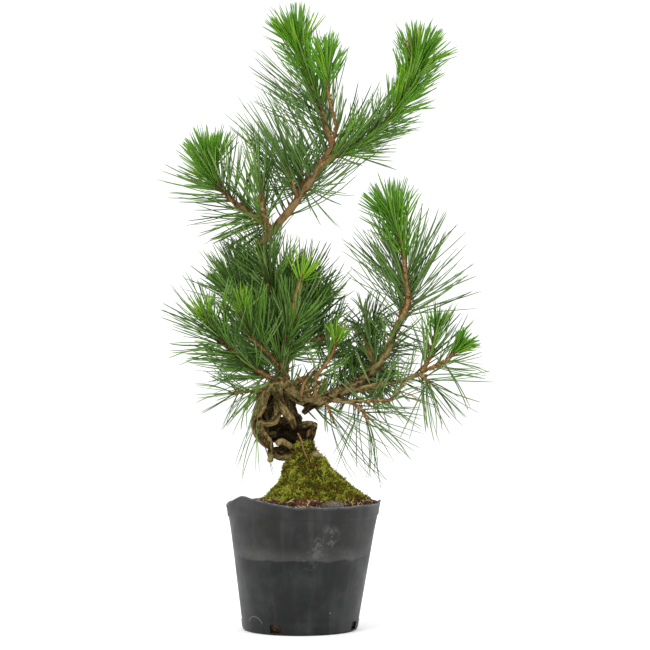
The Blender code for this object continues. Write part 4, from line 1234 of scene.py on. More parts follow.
@dataclass
class Soil:
    """The soil that fills the pot, the granules on it and the litter among them.

    A stone is its place on the soil and its three half lengths.
    """

    pot: Pot
    inset: float = 1.75
    floor_gap: float = 0.3
    steps: int = 96
    top_rings: int = 26
    wall_heights: tuple = (113.0, 92.0, 60.0, 30.0, 6.0)
    lump: float = 1.6
    grain_count: int = 2300
    grain_shares: tuple = (0.30, 0.30, 0.13, 0.19, 0.08)
    stones: tuple = (((33.0, -59.0, SOIL_TOP + 5.0), (11.0, 6.0, 5.5)),
                     ((-38.0, 44.0, SOIL_TOP + 2.0), (7.0, 6.0, 4.5)),
                     ((52.0, 30.0, SOIL_TOP + 2.0), (6.0, 7.0, 4.0)))
    straw_count: int = 150
    front_straw_count: int = 60
    seed: int = 7

    def reach(self) -> float:
        """The radius of the soil at its top."""
        return self.pot.wall_radius(self.pot.collar_height) - self.inset

    def build(self) -> None:
        """Model the soil and what lies on it."""
        self.build_bed()
        self.build_grains()
        self.build_stones()
        self.build_litter()

    def build_bed(self) -> None:
        """The body of soil, with a lumpy top."""
        pot = self.pot
        rings = [(3.0, SOIL_TOP)]
        rings += [(float(radius), SOIL_TOP) for radius in np.linspace(6.0, self.reach(), self.top_rings)]
        rings += [(pot.wall_radius(height) - self.inset, height) for height in self.wall_heights]
        rings.append((pot.foot_radius - self.inset - pot.foot_rounding, pot.wall + self.floor_gap))
        bed = ringed("soil_bed", rings, self.steps, close=True)
        points = points_of(bed.data)
        top = points[:, 2] > SOIL_TOP - 0.5
        shaped = pot.shaped(points)
        shaped[top, 2] = SOIL_TOP + lumps(points[top], 9.0, 4) * self.lump
        shaped[~top] += (normals_of(bed.data) * lumps(points, 6.0)[:, None] * 0.5)[~top]
        move_points(bed.data, shaped)
        bed.data.shade_smooth()
        dress(bed, SOIL, "soil", "soil")

    def spots(self, count: int, luck: Luck, inner: float = 38.0) -> Rows:
        """Random places on the ring of soil that the moss leaves bare, one a row."""
        angles = luck.uniform(0.0, 2.0 * np.pi, count)
        radii = np.sqrt(luck.uniform(inner ** 2, (self.reach() - 1.0) ** 2, count))
        flat = np.stack([radii * np.cos(angles), radii * np.sin(angles), np.full(count, SOIL_TOP)], axis=1)
        places = self.pot.shaped(flat)
        places[:, 2] = SOIL_TOP
        return places

    def build_grains(self) -> None:
        """Granules of baked clay and bark in a few colours."""
        luck = np.random.default_rng(self.seed)
        base, faces = ball(1)
        for tint, share in zip(GrainTint, self.grain_shares):
            count = round(self.grain_count * share)
            spots = self.spots(count, luck)
            shapes = rough_copies(base, luck.uniform(0.9, 2.3, count), luck)
            spots[:, 2] += luck.uniform(0.2, 2.2, count)
            dress_shapes(tint.value.name, shapes + spots[:, None, :], faces, tint.value, "soil")

    def build_stones(self) -> None:
        """The porous stone by the rim, with pits, and two smaller ones behind."""
        stones = []
        for place, size in self.stones:
            deselect()
            bpy.ops.mesh.primitive_ico_sphere_add(subdivisions=5, radius=MM)
            stone = bpy.context.object
            points = points_of(stone.data)
            bumps = lumps(points, 0.8, 4, place[0])
            pits = np.array([noise.voronoi(Vector(point * 4.0 + place[0]))[0][0] for point in points])
            radii = 1.0 + 0.16 * bumps - 0.10 * np.clip(0.45 - pits, 0.0, 1.0)
            move_points(stone.data, points * radii[:, None] * vector(size) + vector(place))
            stone.data.shade_smooth()
            stones.append(stone)
        dress(joined("porous_stones", stones), PUMICE, "soil")

    def build_litter(self) -> None:
        """Straw, chips of bark and fallen needles on the soil."""
        luck = np.random.default_rng(self.seed + 2)
        spots = self.spots(self.straw_count, luck, 52.0)
        few = self.front_straw_count
        front = np.stack([luck.normal(0.0, 9.0, few), luck.uniform(-70.0, -60.0, few),
                          np.full(few, SOIL_TOP)], axis=1)
        spots = np.concatenate([spots, self.pot.shaped(front)])
        count = len(spots)
        spots[:, 2] = SOIL_TOP + luck.uniform(1.0, 3.6, count)
        angles = luck.uniform(0.0, 2.0 * np.pi, count)
        starts = unit(np.stack([np.cos(angles), np.sin(angles), luck.uniform(-0.1, 0.5, count)], axis=1))
        bend = unit(starts + luck.normal(0.0, 0.35, (count, 3)))
        shapes, faces = blades(spots, starts, bend, luck.uniform(3.0, 9.0, count),
                               luck.uniform(0.25, 0.6, count), luck.uniform(0.0, np.pi, count))
        flat = np.hypot(shapes[:, :, 0] - self.pot.lean, shapes[:, :, 1])
        inside = np.all(flat < self.reach() - 1.5, axis=1)
        dress_shapes("straw", shapes[inside], faces, STRAW, "soil")


def ball(rounds: int) -> tuple[Rows, Rows]:
    """A ball of triangles with radius one.

    Args:
        rounds: How often the icosahedron is divided, plus one.

    Returns:
        Its corners and its triangles.
    """
    deselect()
    bpy.ops.mesh.primitive_ico_sphere_add(subdivisions=rounds, radius=MM)
    thing = bpy.context.object
    corners = points_of(thing.data)
    faces = np.array([tuple(face.vertices) for face in thing.data.polygons])
    bpy.data.objects.remove(thing, do_unlink=True)
    return corners, faces


def rough_copies(base: Rows, sizes: Rows, luck: Luck, rough: float = 0.30) -> Rows:
    """Copies of a shape, each turned, squashed and roughened in its own way.

    Args:
        base: The shape's corners.
        sizes: The size of each copy.
        luck: Where the random numbers come from.
        rough: How far corners move, as a share of the size.

    Returns:
        Corners by copy, corner and axis.
    """
    count = len(sizes)
    squash = luck.uniform(0.65, 1.25, (count, 1, 3))
    shapes = base[None] * squash * (1.0 + luck.uniform(-rough, rough, (count, len(base), 1)))
    turns = np.linalg.qr(luck.normal(size=(count, 3, 3)))[0]
    turns[:, :, 0] *= np.sign(np.linalg.det(turns))[:, None]
    return np.einsum("nij,nkj->nki", turns, shapes) * sizes[:, None, None]


# Along a blade, a stub or a bud: where its rings are and how wide they are.
BLADE = (np.array([0.0, 0.22, 0.48, 0.74, 0.93]), np.array([0.78, 1.0, 1.0, 0.92, 0.55]))
STUB = (np.array([0.0, 0.4, 0.75]), np.array([0.8, 1.0, 0.7]))
BUD = ((0.0, 0.18, 0.42, 0.68, 0.88), (0.55, 1.0, 0.95, 0.6, 0.25))
BLADE_THICKNESS = 0.55
BUD_WIDTH = 0.20


def blades(roots: Rows, starts: Rows, ends: Rows, lengths: Rows,
           half_widths: Rows, spins: Rows, form: tuple = BLADE) -> tuple[Rows, Rows]:
    """Bent, three-sided blades that taper to a point: needles, straw and moss.

    Args:
        roots: Where each starts, one a row.
        starts: The way each starts out.
        ends: The way each points at its tip.
        lengths: Their lengths.
        half_widths: Half their widths.
        spins: How each is turned about its own line.
        form: Where the rings are and how wide.

    Returns:
        Corners by blade, corner and axis, and the table of triangles of one blade.
    """
    places, tapers = form
    stops = np.append(places, 1.0)
    bends = (ends - starts)[:, None, :]
    lines = roots[:, None, :] + lengths[:, None, None] * (
        starts[:, None, :] * stops[None, :, None] + bends * (stops ** 2 / 2.0)[None, :, None])
    across, above = side_frames(unit(starts + ends))
    side = across * np.cos(spins)[:, None] + above * np.sin(spins)[:, None]
    back = above * np.cos(spins)[:, None] - across * np.sin(spins)[:, None]
    corners = []
    for ring, taper in enumerate(tapers):
        width = (half_widths * taper)[:, None]
        corners.append(lines[:, ring] - side * width)
        corners.append(lines[:, ring] + side * width)
        corners.append(lines[:, ring] + back * width * 2.0 * BLADE_THICKNESS)
    corners.append(lines[:, -1])
    return np.stack(corners, axis=1), tube_faces(len(tapers), 3)


def circles(headings: Rows, sides: int) -> Rows:
    """Circles of radius one square to headings, by heading, corner and axis."""
    across, above = side_frames(headings)
    turns = (2.0 * np.pi * np.arange(sides) / sides)[None, :, None]
    return across[:, None, :] * np.cos(turns) + above[:, None, :] * np.sin(turns)


def tube_faces(rings: int, sides: int) -> Rows:
    """The triangles of a tube that is closed at its start and ends in a point.

    Args:
        rings: The number of rings.
        sides: The number of corners of a ring.

    Returns:
        Three corner numbers a row.
    """
    faces = []
    for ring in range(rings - 1):
        for side in range(sides):
            low = ring * sides + side
            low_next = ring * sides + (side + 1) % sides
            faces.append((low, low_next, low_next + sides))
            faces.append((low, low_next + sides, low + sides))
    tip = rings * sides
    for side in range(sides):
        faces.append((tip - sides + side, tip - sides + (side + 1) % sides, tip))
    for side in range(1, sides - 1):
        faces.append((0, side + 1, side))
    return np.array(faces)


@dataclass
class Moss:
    """The mound of moss round the root column: a lumpy cushion and the shoots that cover it.

    A ring is a height, the X of its centre and its radius. The shoots' tints are dealt by tone, from
    the lightest down.
    """

    rings: tuple = ((124.0, 12.0, 59.0), (126.0, 13.0, 57.0), (132.0, 13.5, 47.5), (141.0, 14.5, 36.5),
                    (150.0, 13.0, 28.5), (160.0, 8.0, 22.5), (168.0, 6.5, 17.8), (174.0, 4.5, 13.0),
                    (180.0, 4.0, 10.0), (186.0, 5.0, 7.6))
    foot: float = 121.6
    buried: float = 122.5
    row_count: int = 46
    lump: float = 0.07
    steps: int = 120
    clump_count: int = 2700
    shoots_a_clump: int = 9
    nub_room: float = 7.6
    tone_cuts: tuple = (9.0, 0.26, -0.04, -0.36, -0.56, -9.0)
    batch: int = 2000
    skirt_low: float = 129.5
    skirt_wave: float = 2.6
    skirt_overlap: float = 0.8
    skirt_grains: int = 2300
    skirt_shares: tuple = (0.26, 0.26, 0.09, 0.30, 0.09)
    skirt_straws: int = 90
    seed: int = 11

    def reach(self, heights: Rows) -> tuple[Rows, Rows]:
        """Centre X and radius of the mound at heights."""
        known, centres, radii = zip(*self.rings)
        return (np.interp(heights, known, centres),
                np.where(heights < known[-1] + 2.0, np.interp(heights, known, radii), 0.0))

    def build(self) -> None:
        """Model the cushion and its shoots."""
        cushion = self.build_cushion()
        self.build_shoots(cushion)
        self.build_skirt(cushion)
        dress(cushion, MOSS_GROUND, "moss", "moss_mound")

    def build_cushion(self) -> Thing:
        """The lumpy ground that the moss grows on."""
        heights = np.linspace(self.rings[-1][0], self.rings[0][0], self.row_count)
        _, radii = self.reach(heights)
        rings = [(2.0, heights[0])]
        rings += [(float(radius), float(heights[0])) for radius in np.linspace(5.0, radii[0] * 0.9, 3)]
        rings += [(float(radius), float(height)) for radius, height in zip(radii, heights)]
        rings += [(radii[-1] - 2.0, self.foot), (2.0, self.foot)]
        cushion = ringed("moss_cushion", rings, self.steps, close=True)
        x, y, z = points_of(cushion.data).T
        angles = np.arctan2(y, x)
        centre, _ = self.reach(z)
        waves = 0.6 * np.sin(3.0 * angles + 0.11 * z) + 0.4 * np.sin(5.0 * angles - 0.23 * z)
        swell = 1.0 + self.lump * waves
        points = np.stack([centre + x * swell, y * swell, z], axis=1)
        move_points(cushion.data, points)
        free = z > self.buried
        out = normals_of(cushion.data)
        rise = lumps(points, 11.0, 3) * 1.7 + lumps(points, 3.2, 2, 4.0) * 0.5
        points[free] += (out * rise[:, None])[free]
        move_points(cushion.data, points)
        cushion.data.shade_smooth()
        return cushion

    def scattered(self, cushion: Thing, count: int, luck: Luck, mossy: bool) -> tuple[Rows, Rows]:
        """Random places on the cushion, above or below the edge of the moss.

        Args:
            cushion: The cushion.
            count: How many places.
            luck: Where the random numbers come from.
            mossy: Whether the places are those above the edge.

        Returns:
            The places and the surface's normals there, one a row.
        """
        mesh = cushion.data
        mesh.calc_loop_triangles()
        corners = np.array([tuple(face.vertices) for face in mesh.loop_triangles])
        sides = points_of(mesh)[corners]
        middles = sides.mean(axis=1)
        areas = np.linalg.norm(np.cross(sides[:, 1] - sides[:, 0], sides[:, 2] - sides[:, 0]), axis=1)
        edge = self.skirt_low + self.skirt_wave * lumps(middles, 12.0, 3, 9.0)
        height = middles[:, 2]
        wanted = height > edge if mossy else (height < edge + self.skirt_overlap) & (height > self.buried)
        areas[~wanted] = 0.0
        picked = luck.choice(len(corners), count, p=areas / areas.sum())
        weights = luck.dirichlet((1.0, 1.0, 1.0), count)
        hearts = np.einsum("nk,nkj->nj", weights, sides[picked])
        return hearts, unit(np.einsum("nk,nkj->nj", weights, normals_of(mesh)[corners[picked]]))

    def build_skirt(self, cushion: Thing) -> None:
        """Cover the foot of the mound with granules and straw."""
        luck = np.random.default_rng(self.seed + 1)
        base, faces = ball(1)
        for tint, share in zip(GrainTint, self.skirt_shares):
            places, out = self.scattered(cushion, round(self.skirt_grains * share), luck, False)
            shapes = rough_copies(base, luck.uniform(0.6, 1.6, len(places)), luck)
            shapes += (places + out * 0.6)[:, None, :]
            dress_shapes(tint.value.name + "_skirt", shapes, faces, tint.value, "soil")
        count = self.skirt_straws
        places, out = self.scattered(cushion, count, luck, False)
        along = unit(np.cross(out, luck.normal(0.0, 1.0, out.shape)))
        ends = unit(along + luck.normal(0.0, 0.3, out.shape))
        shapes, faces = blades(places + out * 1.6, along, ends, luck.uniform(3.0, 10.0, count),
                               luck.uniform(0.25, 0.5, count), luck.uniform(0.0, np.pi, count))
        dress_shapes("skirt_straw", shapes, faces, STRAW, "soil")

    def build_shoots(self, cushion: Thing) -> None:
        """Cover the cushion with short, curved shoots in a few colours."""
        luck = np.random.default_rng(self.seed)
        hearts, normals = self.scattered(cushion, self.clump_count, luck, True)
        nub = NUB.at(NUB.shares(1.0))
        free = distances(hearts, nub).min(axis=1) >= self.nub_room
        hearts, normals = hearts[free], normals[free]
        tones = lumps(hearts, 9.0, 3, 2.0) + luck.normal(0.0, 0.22, len(hearts))
        tones -= 0.30 * np.clip((138.0 - hearts[:, 2]) / 14.0, 0.0, 1.0)
        sizes = luck.uniform(0.75, 1.3, len(hearts))
        hearts, normals, tones, sizes = (np.repeat(values, self.shoots_a_clump, axis=0)
                                         for values in (hearts, normals, tones, sizes))
        count = len(hearts)
        starts = unit(normals + luck.normal(0.0, 0.55, hearts.shape))
        roots = hearts + luck.normal(0.0, 0.7, hearts.shape) - normals * 0.3
        ends = unit(starts + luck.normal(0.0, 0.7, hearts.shape) + vector((0.0, 0.0, 0.1)))
        lengths = luck.uniform(1.8, 4.0, count) * sizes
        widths = luck.uniform(0.24, 0.44, count)
        spins = luck.uniform(0.0, np.pi, count)
        tones = tones + luck.normal(0.0, 0.28, count)
        for tint, highest, lowest in zip(MossTint, self.tone_cuts, self.tone_cuts[1:]):
            chosen = (tones >= lowest) & (tones < highest)
            shapes, faces = blades(roots[chosen], starts[chosen], ends[chosen], lengths[chosen],
                                   widths[chosen], spins[chosen], STUB)
            sheaf = Sheaf(tint.value.name)
            for part in np.array_split(shapes, max(1, len(shapes) // self.batch)):
                sheaf.add(part, faces)
            sheaf.dress(tint.value, "moss")


# Wood.

@dataclass
class Wood:
    """The trunk with its roots, and the boughs, each with the relief of its bark."""

    voxel: float = 0.65
    sides: int = 3
    ring_spacing: float = 3.0
    flare: float = 1.22
    flare_length: float = 9.0
    sample_spacing: float = 2.0
    batch: int = 2000
    limb_shift: float = 300.0
    furrow_depth: float = 1.0
    broad_depth: float = 1.5
    # Painted shade: the wood is darkened in this cave, under the stump's arm.
    cave_centre: tuple = (-7.0, -1.0, 195.0)
    cave_reach: tuple = (17.0, 9.5, 10.5)
    weathered_share: float = 0.65
    young_height: float = 360.0
    young_length: float = 50.0
    young_share: float = 0.7
    limbs: dict = field(default_factory=dict)

    def __post_init__(self) -> None:
        """Grow the limbs, which the foliage needs too."""
        self.limbs["trunk"] = TRUNK
        self.limbs["outer_root"] = ROOTS[0]
        for bough in BOUGHS:
            parent = self.limbs[bough.parent]
            self.limbs[bough.name] = Limb(tuple(parent.at([bough.share])[0]), bough.spans, bough.radii)

    def tube(self, name: str, limb: Limb, flare: float = 1.0) -> Thing:
        """A closed tube along a limb, made from a curve.

        Args:
            name: The object's name.
            limb: The limb.
            flare: How much wider its foot is.

        Returns:
            The mesh object.
        """
        curve = bpy.data.curves.new(name, "CURVE")
        curve.dimensions = "3D"
        curve.bevel_depth = MM
        curve.bevel_resolution = self.sides
        curve.use_fill_caps = True
        shares = limb.shares(self.ring_spacing)
        line = curve.splines.new("POLY")
        line.points.add(len(shares) - 1)
        widen = 1.0 + (flare - 1.0) * np.exp(-shares * limb.length / self.flare_length)
        for corner, point, radius in zip(line.points, limb.at(shares), limb.radii(shares) * widen):
            corner.co = (*(point * MM), 1.0)
            corner.radius = radius
        activate(new_object(name, curve))
        bpy.ops.object.convert(target="MESH")
        return bpy.context.object

    def relieved(self, name: str, tubes: list[Thing], limbs: list[Limb], furrowed: float,
                 painted_shade_and_rot: list[Limb]) -> Thing:
        """Fuse tubes and press the bark's relief into them.

        Args:
            name: The object's name.
            tubes: The tubes.
            limbs: The limbs they follow, in order.
            furrowed: How far the relief is drawn out along the limb.
            painted_shade_and_rot: The limbs that are painted near black, as rotten wood and as painted shade.

        Returns:
            The object, with its relief kept as an attribute.
        """
        wood = joined(name, tubes)
        apply_modifier(wood, "REMESH", mode="VOXEL", voxel_size=self.voxel * MM)
        apply_modifier(wood, "SMOOTH", factor=0.5, iterations=2)
        points = points_of(wood.data)
        flat, owners, crease = self.unrolled(points, limbs)
        flat[:, 2] *= furrowed
        broad = lumps(flat, 9.0, 2, 3.0)
        ridges = spread(-np.abs(lumps(flat, 3.6, 2, 8.0)))
        flakes = spread(lumps(points, 1.8, 3, 5.0))
        relief = spread(0.44 * ridges + 0.26 * flakes + 0.40 * spread(broad))
        rise = self.broad_depth * broad + self.furrow_depth * (relief - 0.6)
        move_points(wood.data, points + normals_of(wood.data) * rise[:, None])
        soft = np.clip(1.0 - 0.35 * relief, 0.0, 1.0)
        # Limbs listed as painted shade and rotten wood are painted near black; half-rotten ones are painted
        # partly dark.
        dark = np.array([1.0 if limb in painted_shade_and_rot else self.weathered_share if limb in WEATHERED else 0.0
                         for limb in limbs])[owners] * soft
        # Painted shade: the cave, the wood behind the roots and the creases between roots are darkened on top
        # of the rotten wood.
        if painted_shade_and_rot:
            dark = np.maximum(dark, self.shaded(points, soft, crease))
        young = np.clip((points[:, 2] - self.young_height) / self.young_length, 0.0, self.young_share)
        mark_points(wood.data, "young", young * np.clip(0.25 + relief, 0.0, 1.0))
        mark_points(wood.data, "relief", relief)
        mark_points(wood.data, "painted_shade_and_rot", dark)
        wood.data.shade_smooth()
        return wood

    def unrolled(self, points: Rows, limbs: list[Limb]) -> tuple[Rows, Rows, Rows]:
        """Points as their nearest limb sees them.

        Args:
            points: Points in millimetres, one a row.
            limbs: The limbs.

        Returns:
            The places across, above and along the limb, one a row, the number of the limb, and how
            deep in the crease between two limbs a point lies.
        """
        shares = [limb.shares(self.sample_spacing) for limb in limbs]
        samples = np.concatenate([limb.at(part) for limb, part in zip(limbs, shares)])
        ways = np.concatenate([limb.headings(part) for limb, part in zip(limbs, shares)])
        radii = np.concatenate([limb.radii(part) for limb, part in zip(limbs, shares)])
        along = np.concatenate([part * limb.length + self.limb_shift * index
                                for index, (limb, part) in enumerate(zip(limbs, shares))])
        owners = np.repeat(np.arange(len(limbs)), [len(part) for part in shares])
        firsts = np.flatnonzero(np.diff(owners, prepend=-1))
        nearest, crease = [], []
        for part in np.array_split(points, max(1, len(points) // self.batch)):
            gaps = distances(part, samples)
            nearest.append(np.argmin(gaps, axis=1))
            by_limb = np.sort(np.minimum.reduceat(gaps - radii, firsts, axis=1), axis=1)
            crease.append(np.exp(-np.maximum(by_limb[:, 1], 0.0) / 2.0))
        nearest = np.concatenate(nearest)
        across, above = side_frames(ways)
        offset = points - samples[nearest]
        flat = np.stack([np.einsum("ij,ij->i", offset, axis[nearest]) for axis in (across, above, ways)],
                        axis=1)
        flat[:, 2] += along[nearest]
        return flat, owners[nearest], np.concatenate(crease)

    def shaded(self, points: Rows, soft: Rows, crease: Rows) -> Rows:
        """How dark the wood is painted as shade: in the cave, behind the roots and in the creases between
        them.

        Args:
            points: Points in millimetres, one a row.
            soft: How far the dark shows, by the relief.
            crease: How deep in a crease a point lies.

        Returns:
            Shares from 0 to 1.
        """
        depth = np.linalg.norm((points - vector(self.cave_centre)) / vector(self.cave_reach), axis=1)
        cave = np.clip((1.12 - depth) / 0.16, 0.0, 1.0) * 0.95
        low = np.clip((240.0 - points[:, 2]) / 10.0, 0.0, 1.0)
        behind = np.clip((points[:, 1] + 5.0) / 6.0, 0.0, 1.0)
        return np.maximum(cave, low * np.maximum(0.8 * behind * soft, 0.9 * crease))

    def build(self) -> None:
        """Model the trunk and the boughs, and dress them."""
        limbs = [TRUNK, *ROOTS, *STUMP, NUB]
        tubes = [self.tube(f"limb_{index}", limb) for index, limb in enumerate(limbs)]
        # The stump's wood behind the roots is painted near black, as rotten wood and as painted shade.
        trunk = self.relieved("trunk_bark", tubes, limbs, 0.30, list(STUMP[1:]))
        dress(trunk, ROOT_BARK, "old_bark", "trunk")
        names = [bough.name for bough in BOUGHS]
        limbs = [self.limbs[name] for name in names]
        tubes = [self.tube(name + "_tube", limb, self.flare) for name, limb in zip(names, limbs)]
        tubes.append(self.tube("broken_stub", STUB_LIMB))
        # The broken stub is painted near black as rotten wood and painted shade. The boughs' wood low down
        # gets painted shade behind and in creases too.
        boughs = self.relieved("bough_bark", tubes, [*limbs, STUB_LIMB], 0.55, [STUB_LIMB])
        dress(boughs, SCALY_BARK, "bough_bark", *names)


# Foliage.

@dataclass
class Foliage:
    """The masses of needles: stems, twigs and twiglets with their scales, buds and pairs of needles.

    The bare region in front of the roots is given as its low and high X and Z. Twigs stand along the
    stem from the first one on, a step apart. They carry a share of the stem's older needles, shorter
    and closing towards the tip, and so do their twiglets.
    """

    wood: Wood
    moss: Moss
    half_width: float = 0.68
    dry_share: float = 0.011
    sheath_length: float = 5.0
    sheath_half_width: float = 0.85
    box_margin: float = 8.0
    bare_low: tuple = (-46.0, 190.0)
    bare_high: tuple = (14.0, 238.0)
    lowest: float = 136.0
    moss_top: float = 188.0
    wood_gap: float = 0.8
    far_off: float = 1000.0
    probe_spacing: float = 3.0
    probes: tuple = (0.4, 0.6, 0.8, 1.0)
    moss_growth: float = 1.08
    moss_room: float = 1.5
    knob_size: float = 2.4
    knob_height: float = 0.9
    first_twig: float = 0.45
    twig_step: float = 0.22
    twig_spread: float = 48.0
    twig_sag: float = 0.12
    twig_taper: float = 0.8
    twig_thickness: float = 0.8
    twig_lengths: tuple = (0.32, 0.42)
    twig_share: float = 0.34
    twiglet_thickness: float = 0.6
    twiglet_lengths: tuple = (0.45, 0.6)
    twiglet_share: float = 0.20
    twig_needle_start: float = 0.3
    twig_needle_count: int = 6
    twig_needle_length: float = 0.8
    tip_closing: float = 20.0
    least_pitch: float = 12.0
    twig_sides: int = 9
    twig_ring_spacing: float = 1.5
    scale_spacing: float = 1.3
    bud_sides: int = 6
    bud_tilts: tuple = (0.0, 28.0, 32.0)
    bud_lengths: tuple = (6.5, 4.2, 4.2)

    def __post_init__(self) -> None:
        """Make the empty sheaves, the stems, and the wood that needles keep clear of."""
        self.needles = {tint: Sheaf(tint.value.name) for tint in Tint}
        self.bark = Sheaf("twig_bark")
        self.scales = Sheaf("twig_scales")
        self.buds = Sheaf("buds")
        self.sheaths = Sheaf("needle_sheaths")
        self.stems = {}
        for mass in MASSES:
            parent = self.wood.limbs[mass.parent]
            radii = tuple(mass.radius * (1.0 - 0.1 * joint) for joint in range(len(mass.spans) + 1))
            self.stems[mass.name] = Limb(tuple(parent.at([mass.share])[0]), mass.spans, radii)
        wooden = [*self.wood.limbs.values(), *ROOTS, *STUMP]
        shares = [limb.shares(self.probe_spacing) for limb in wooden]
        self.wood_points = np.concatenate([limb.at(part) for limb, part in zip(wooden, shares)])
        self.wood_radii = np.concatenate([limb.radii(part) for limb, part in zip(wooden, shares)])

    def build(self) -> None:
        """Grow every mass, join each kind apart and dress the pieces."""
        for mass in MASSES:
            self.grow(mass)
        for name, seed, spray in BARE_WOOD:
            limb = self.wood.limbs[name]
            luck = np.random.default_rng(seed)
            self.add_spray(limb, spray, limb.points, limb.points + self.far_off, luck, 0.0)
        for twig in DEAD_TWIGS:
            self.add_tube(twig)
        names = [mass.name for mass in MASSES]
        for piece in self.bark.pieces():
            self.roughen(piece)
            dress(piece, TWIG_BARK, "bough_bark", *names)
        self.scales.dress(TWIG_SCALES, "bough_bark")
        self.buds.dress(BUDS, "bough_bark")
        self.sheaths.dress(SHEATHS, "needles")
        for tint, sheaf in self.needles.items():
            sheaf.dress(tint.value, "needles", *names)

    def roughen(self, piece: Thing) -> None:
        """Give joined twigs their knobbly relief."""
        points = points_of(piece.data)
        relief = np.clip(0.5 + 0.55 * lumps(points, self.knob_size, 2, 6.0), 0.0, 1.0)
        rise = self.knob_height * (relief - 0.5)
        move_points(piece.data, points + normals_of(piece.data) * rise[:, None])
        mark_points(piece.data, "relief", relief)

    def grow(self, mass: Mass) -> None:
        """Grow one mass from its stem."""
        luck = np.random.default_rng(mass.seed)
        stem = self.stems[mass.name]
        twigs = self.side_limbs(stem, mass.twigs, mass.radius * self.twig_thickness, self.twig_lengths, luck)
        twiglets = []
        for twig in twigs:
            twiglets += self.side_limbs(twig, 1, mass.radius * self.twiglet_thickness,
                                        self.twiglet_lengths, luck)
        limbs = (stem, *twigs, *twiglets)
        own = np.concatenate([limb.points for limb in limbs])
        others = np.concatenate([limb.points for name, limb in self.stems.items() if name != mass.name])
        for limb in limbs:
            self.add_tube(limb)
            self.add_scales(limb, luck)
            self.add_buds(limb, luck)
        for spray in mass.sprays:
            self.add_spray(stem, spray, own, others, luck, mass.interlock)
        older = mass.sprays[0]
        older = replace(older, start=self.twig_needle_start, end=1.0,
                        length=older.length * self.twig_needle_length,
                        pitch_tip=max(self.least_pitch, older.pitch_tip - self.tip_closing))
        shares = [self.twig_share] * len(twigs) + [self.twiglet_share] * len(twiglets)
        for limb, share in zip(twigs + twiglets, shares):
            fewer = replace(older, count=max(self.twig_needle_count, round(older.count * share)))
            self.add_spray(limb, fewer, own, others, luck, mass.interlock)

    def side_limbs(self, limb: Limb, count: int, radius: float, lengths: tuple, luck: Luck) -> list[Limb]:
        """Side limbs that leave a limb a golden angle apart and turn up.

        Args:
            limb: The limb they leave.
            count: How many.
            radius: Their radius.
            lengths: The least and greatest length, as shares of the limb's.
            luck: Where the random numbers come from.

        Returns:
            The side limbs.
        """
        phase = luck.uniform(0.0, 2.0 * np.pi)
        made = []
        for index in range(count):
            share = self.first_twig + self.twig_step * index
            heading = leaning(limb.headings([share]), np.array([phase + index * GOLDEN_ANGLE]),
                              np.radians([self.twig_spread]))[0]
            length = limb.length * luck.uniform(*lengths)
            rise = Span(tuple(heading * length), (0.0, 0.0, -self.twig_sag * length))
            made.append(Limb(tuple(limb.at([share])[0]), (rise,), (radius, radius * self.twig_taper)))
        return made

    def add_tube(self, limb: Limb) -> None:
        """Add the round wood of a stem or twig."""
        shares = limb.shares(self.twig_ring_spacing)
        headings = limb.headings(shares)
        centres, radii = limb.at(shares), limb.radii(shares)
        corners = centres[:, None, :] + circles(headings, self.twig_sides) * radii[:, None, None]
        tip = centres[-1] + limb.headings([1.0])[0] * radii[-1] * 0.7
        shape = np.concatenate([corners.reshape(-1, 3), tip[None]])
        self.bark.add(shape[None], tube_faces(len(shares), self.twig_sides))

    def add_scales(self, limb: Limb, luck: Luck) -> None:
        """Add the scales of the bark, which the needles left behind."""
        count = int(limb.length / self.scale_spacing)
        places = (np.arange(count) + 0.5) / count
        headings = limb.headings(places)
        angles = luck.uniform(0.0, 6.0) + np.arange(count) * GOLDEN_ANGLE
        outward = leaning(headings, angles, np.full(count, np.pi / 2.0))
        roots = limb.at(places) + outward * (limb.radii(places) * 0.9)[:, None]
        starts = unit(headings + outward * luck.uniform(0.35, 0.8, (count, 1)))
        shapes, faces = blades(roots, starts, unit(starts + headings * 0.4), luck.uniform(2.2, 3.8, count),
                               luck.uniform(0.45, 0.8, count), luck.uniform(0.0, np.pi, count))
        self.scales.add(shapes, faces)

    def add_buds(self, limb: Limb, luck: Luck) -> None:
        """Add a bud at a limb's tip and smaller ones beside it."""
        heading = limb.headings([1.0])
        tip = limb.at([1.0])[0]
        for index, (tilt, size) in enumerate(zip(self.bud_tilts, self.bud_lengths)):
            angle = np.array([index * GOLDEN_ANGLE + luck.uniform(0.0, 1.0)])
            way = leaning(heading, angle, np.radians([tilt]))
            length = size * luck.uniform(0.8, 1.1)
            ring = circles(way, self.bud_sides)[0] * (length * BUD_WIDTH)
            corners = [tip + way[0] * (length * stop) + ring * wide for stop, wide in zip(*BUD)]
            corners.append(tip[None] + way * length)
            self.buds.add(np.concatenate(corners)[None], tube_faces(len(BUD[0]), self.bud_sides))

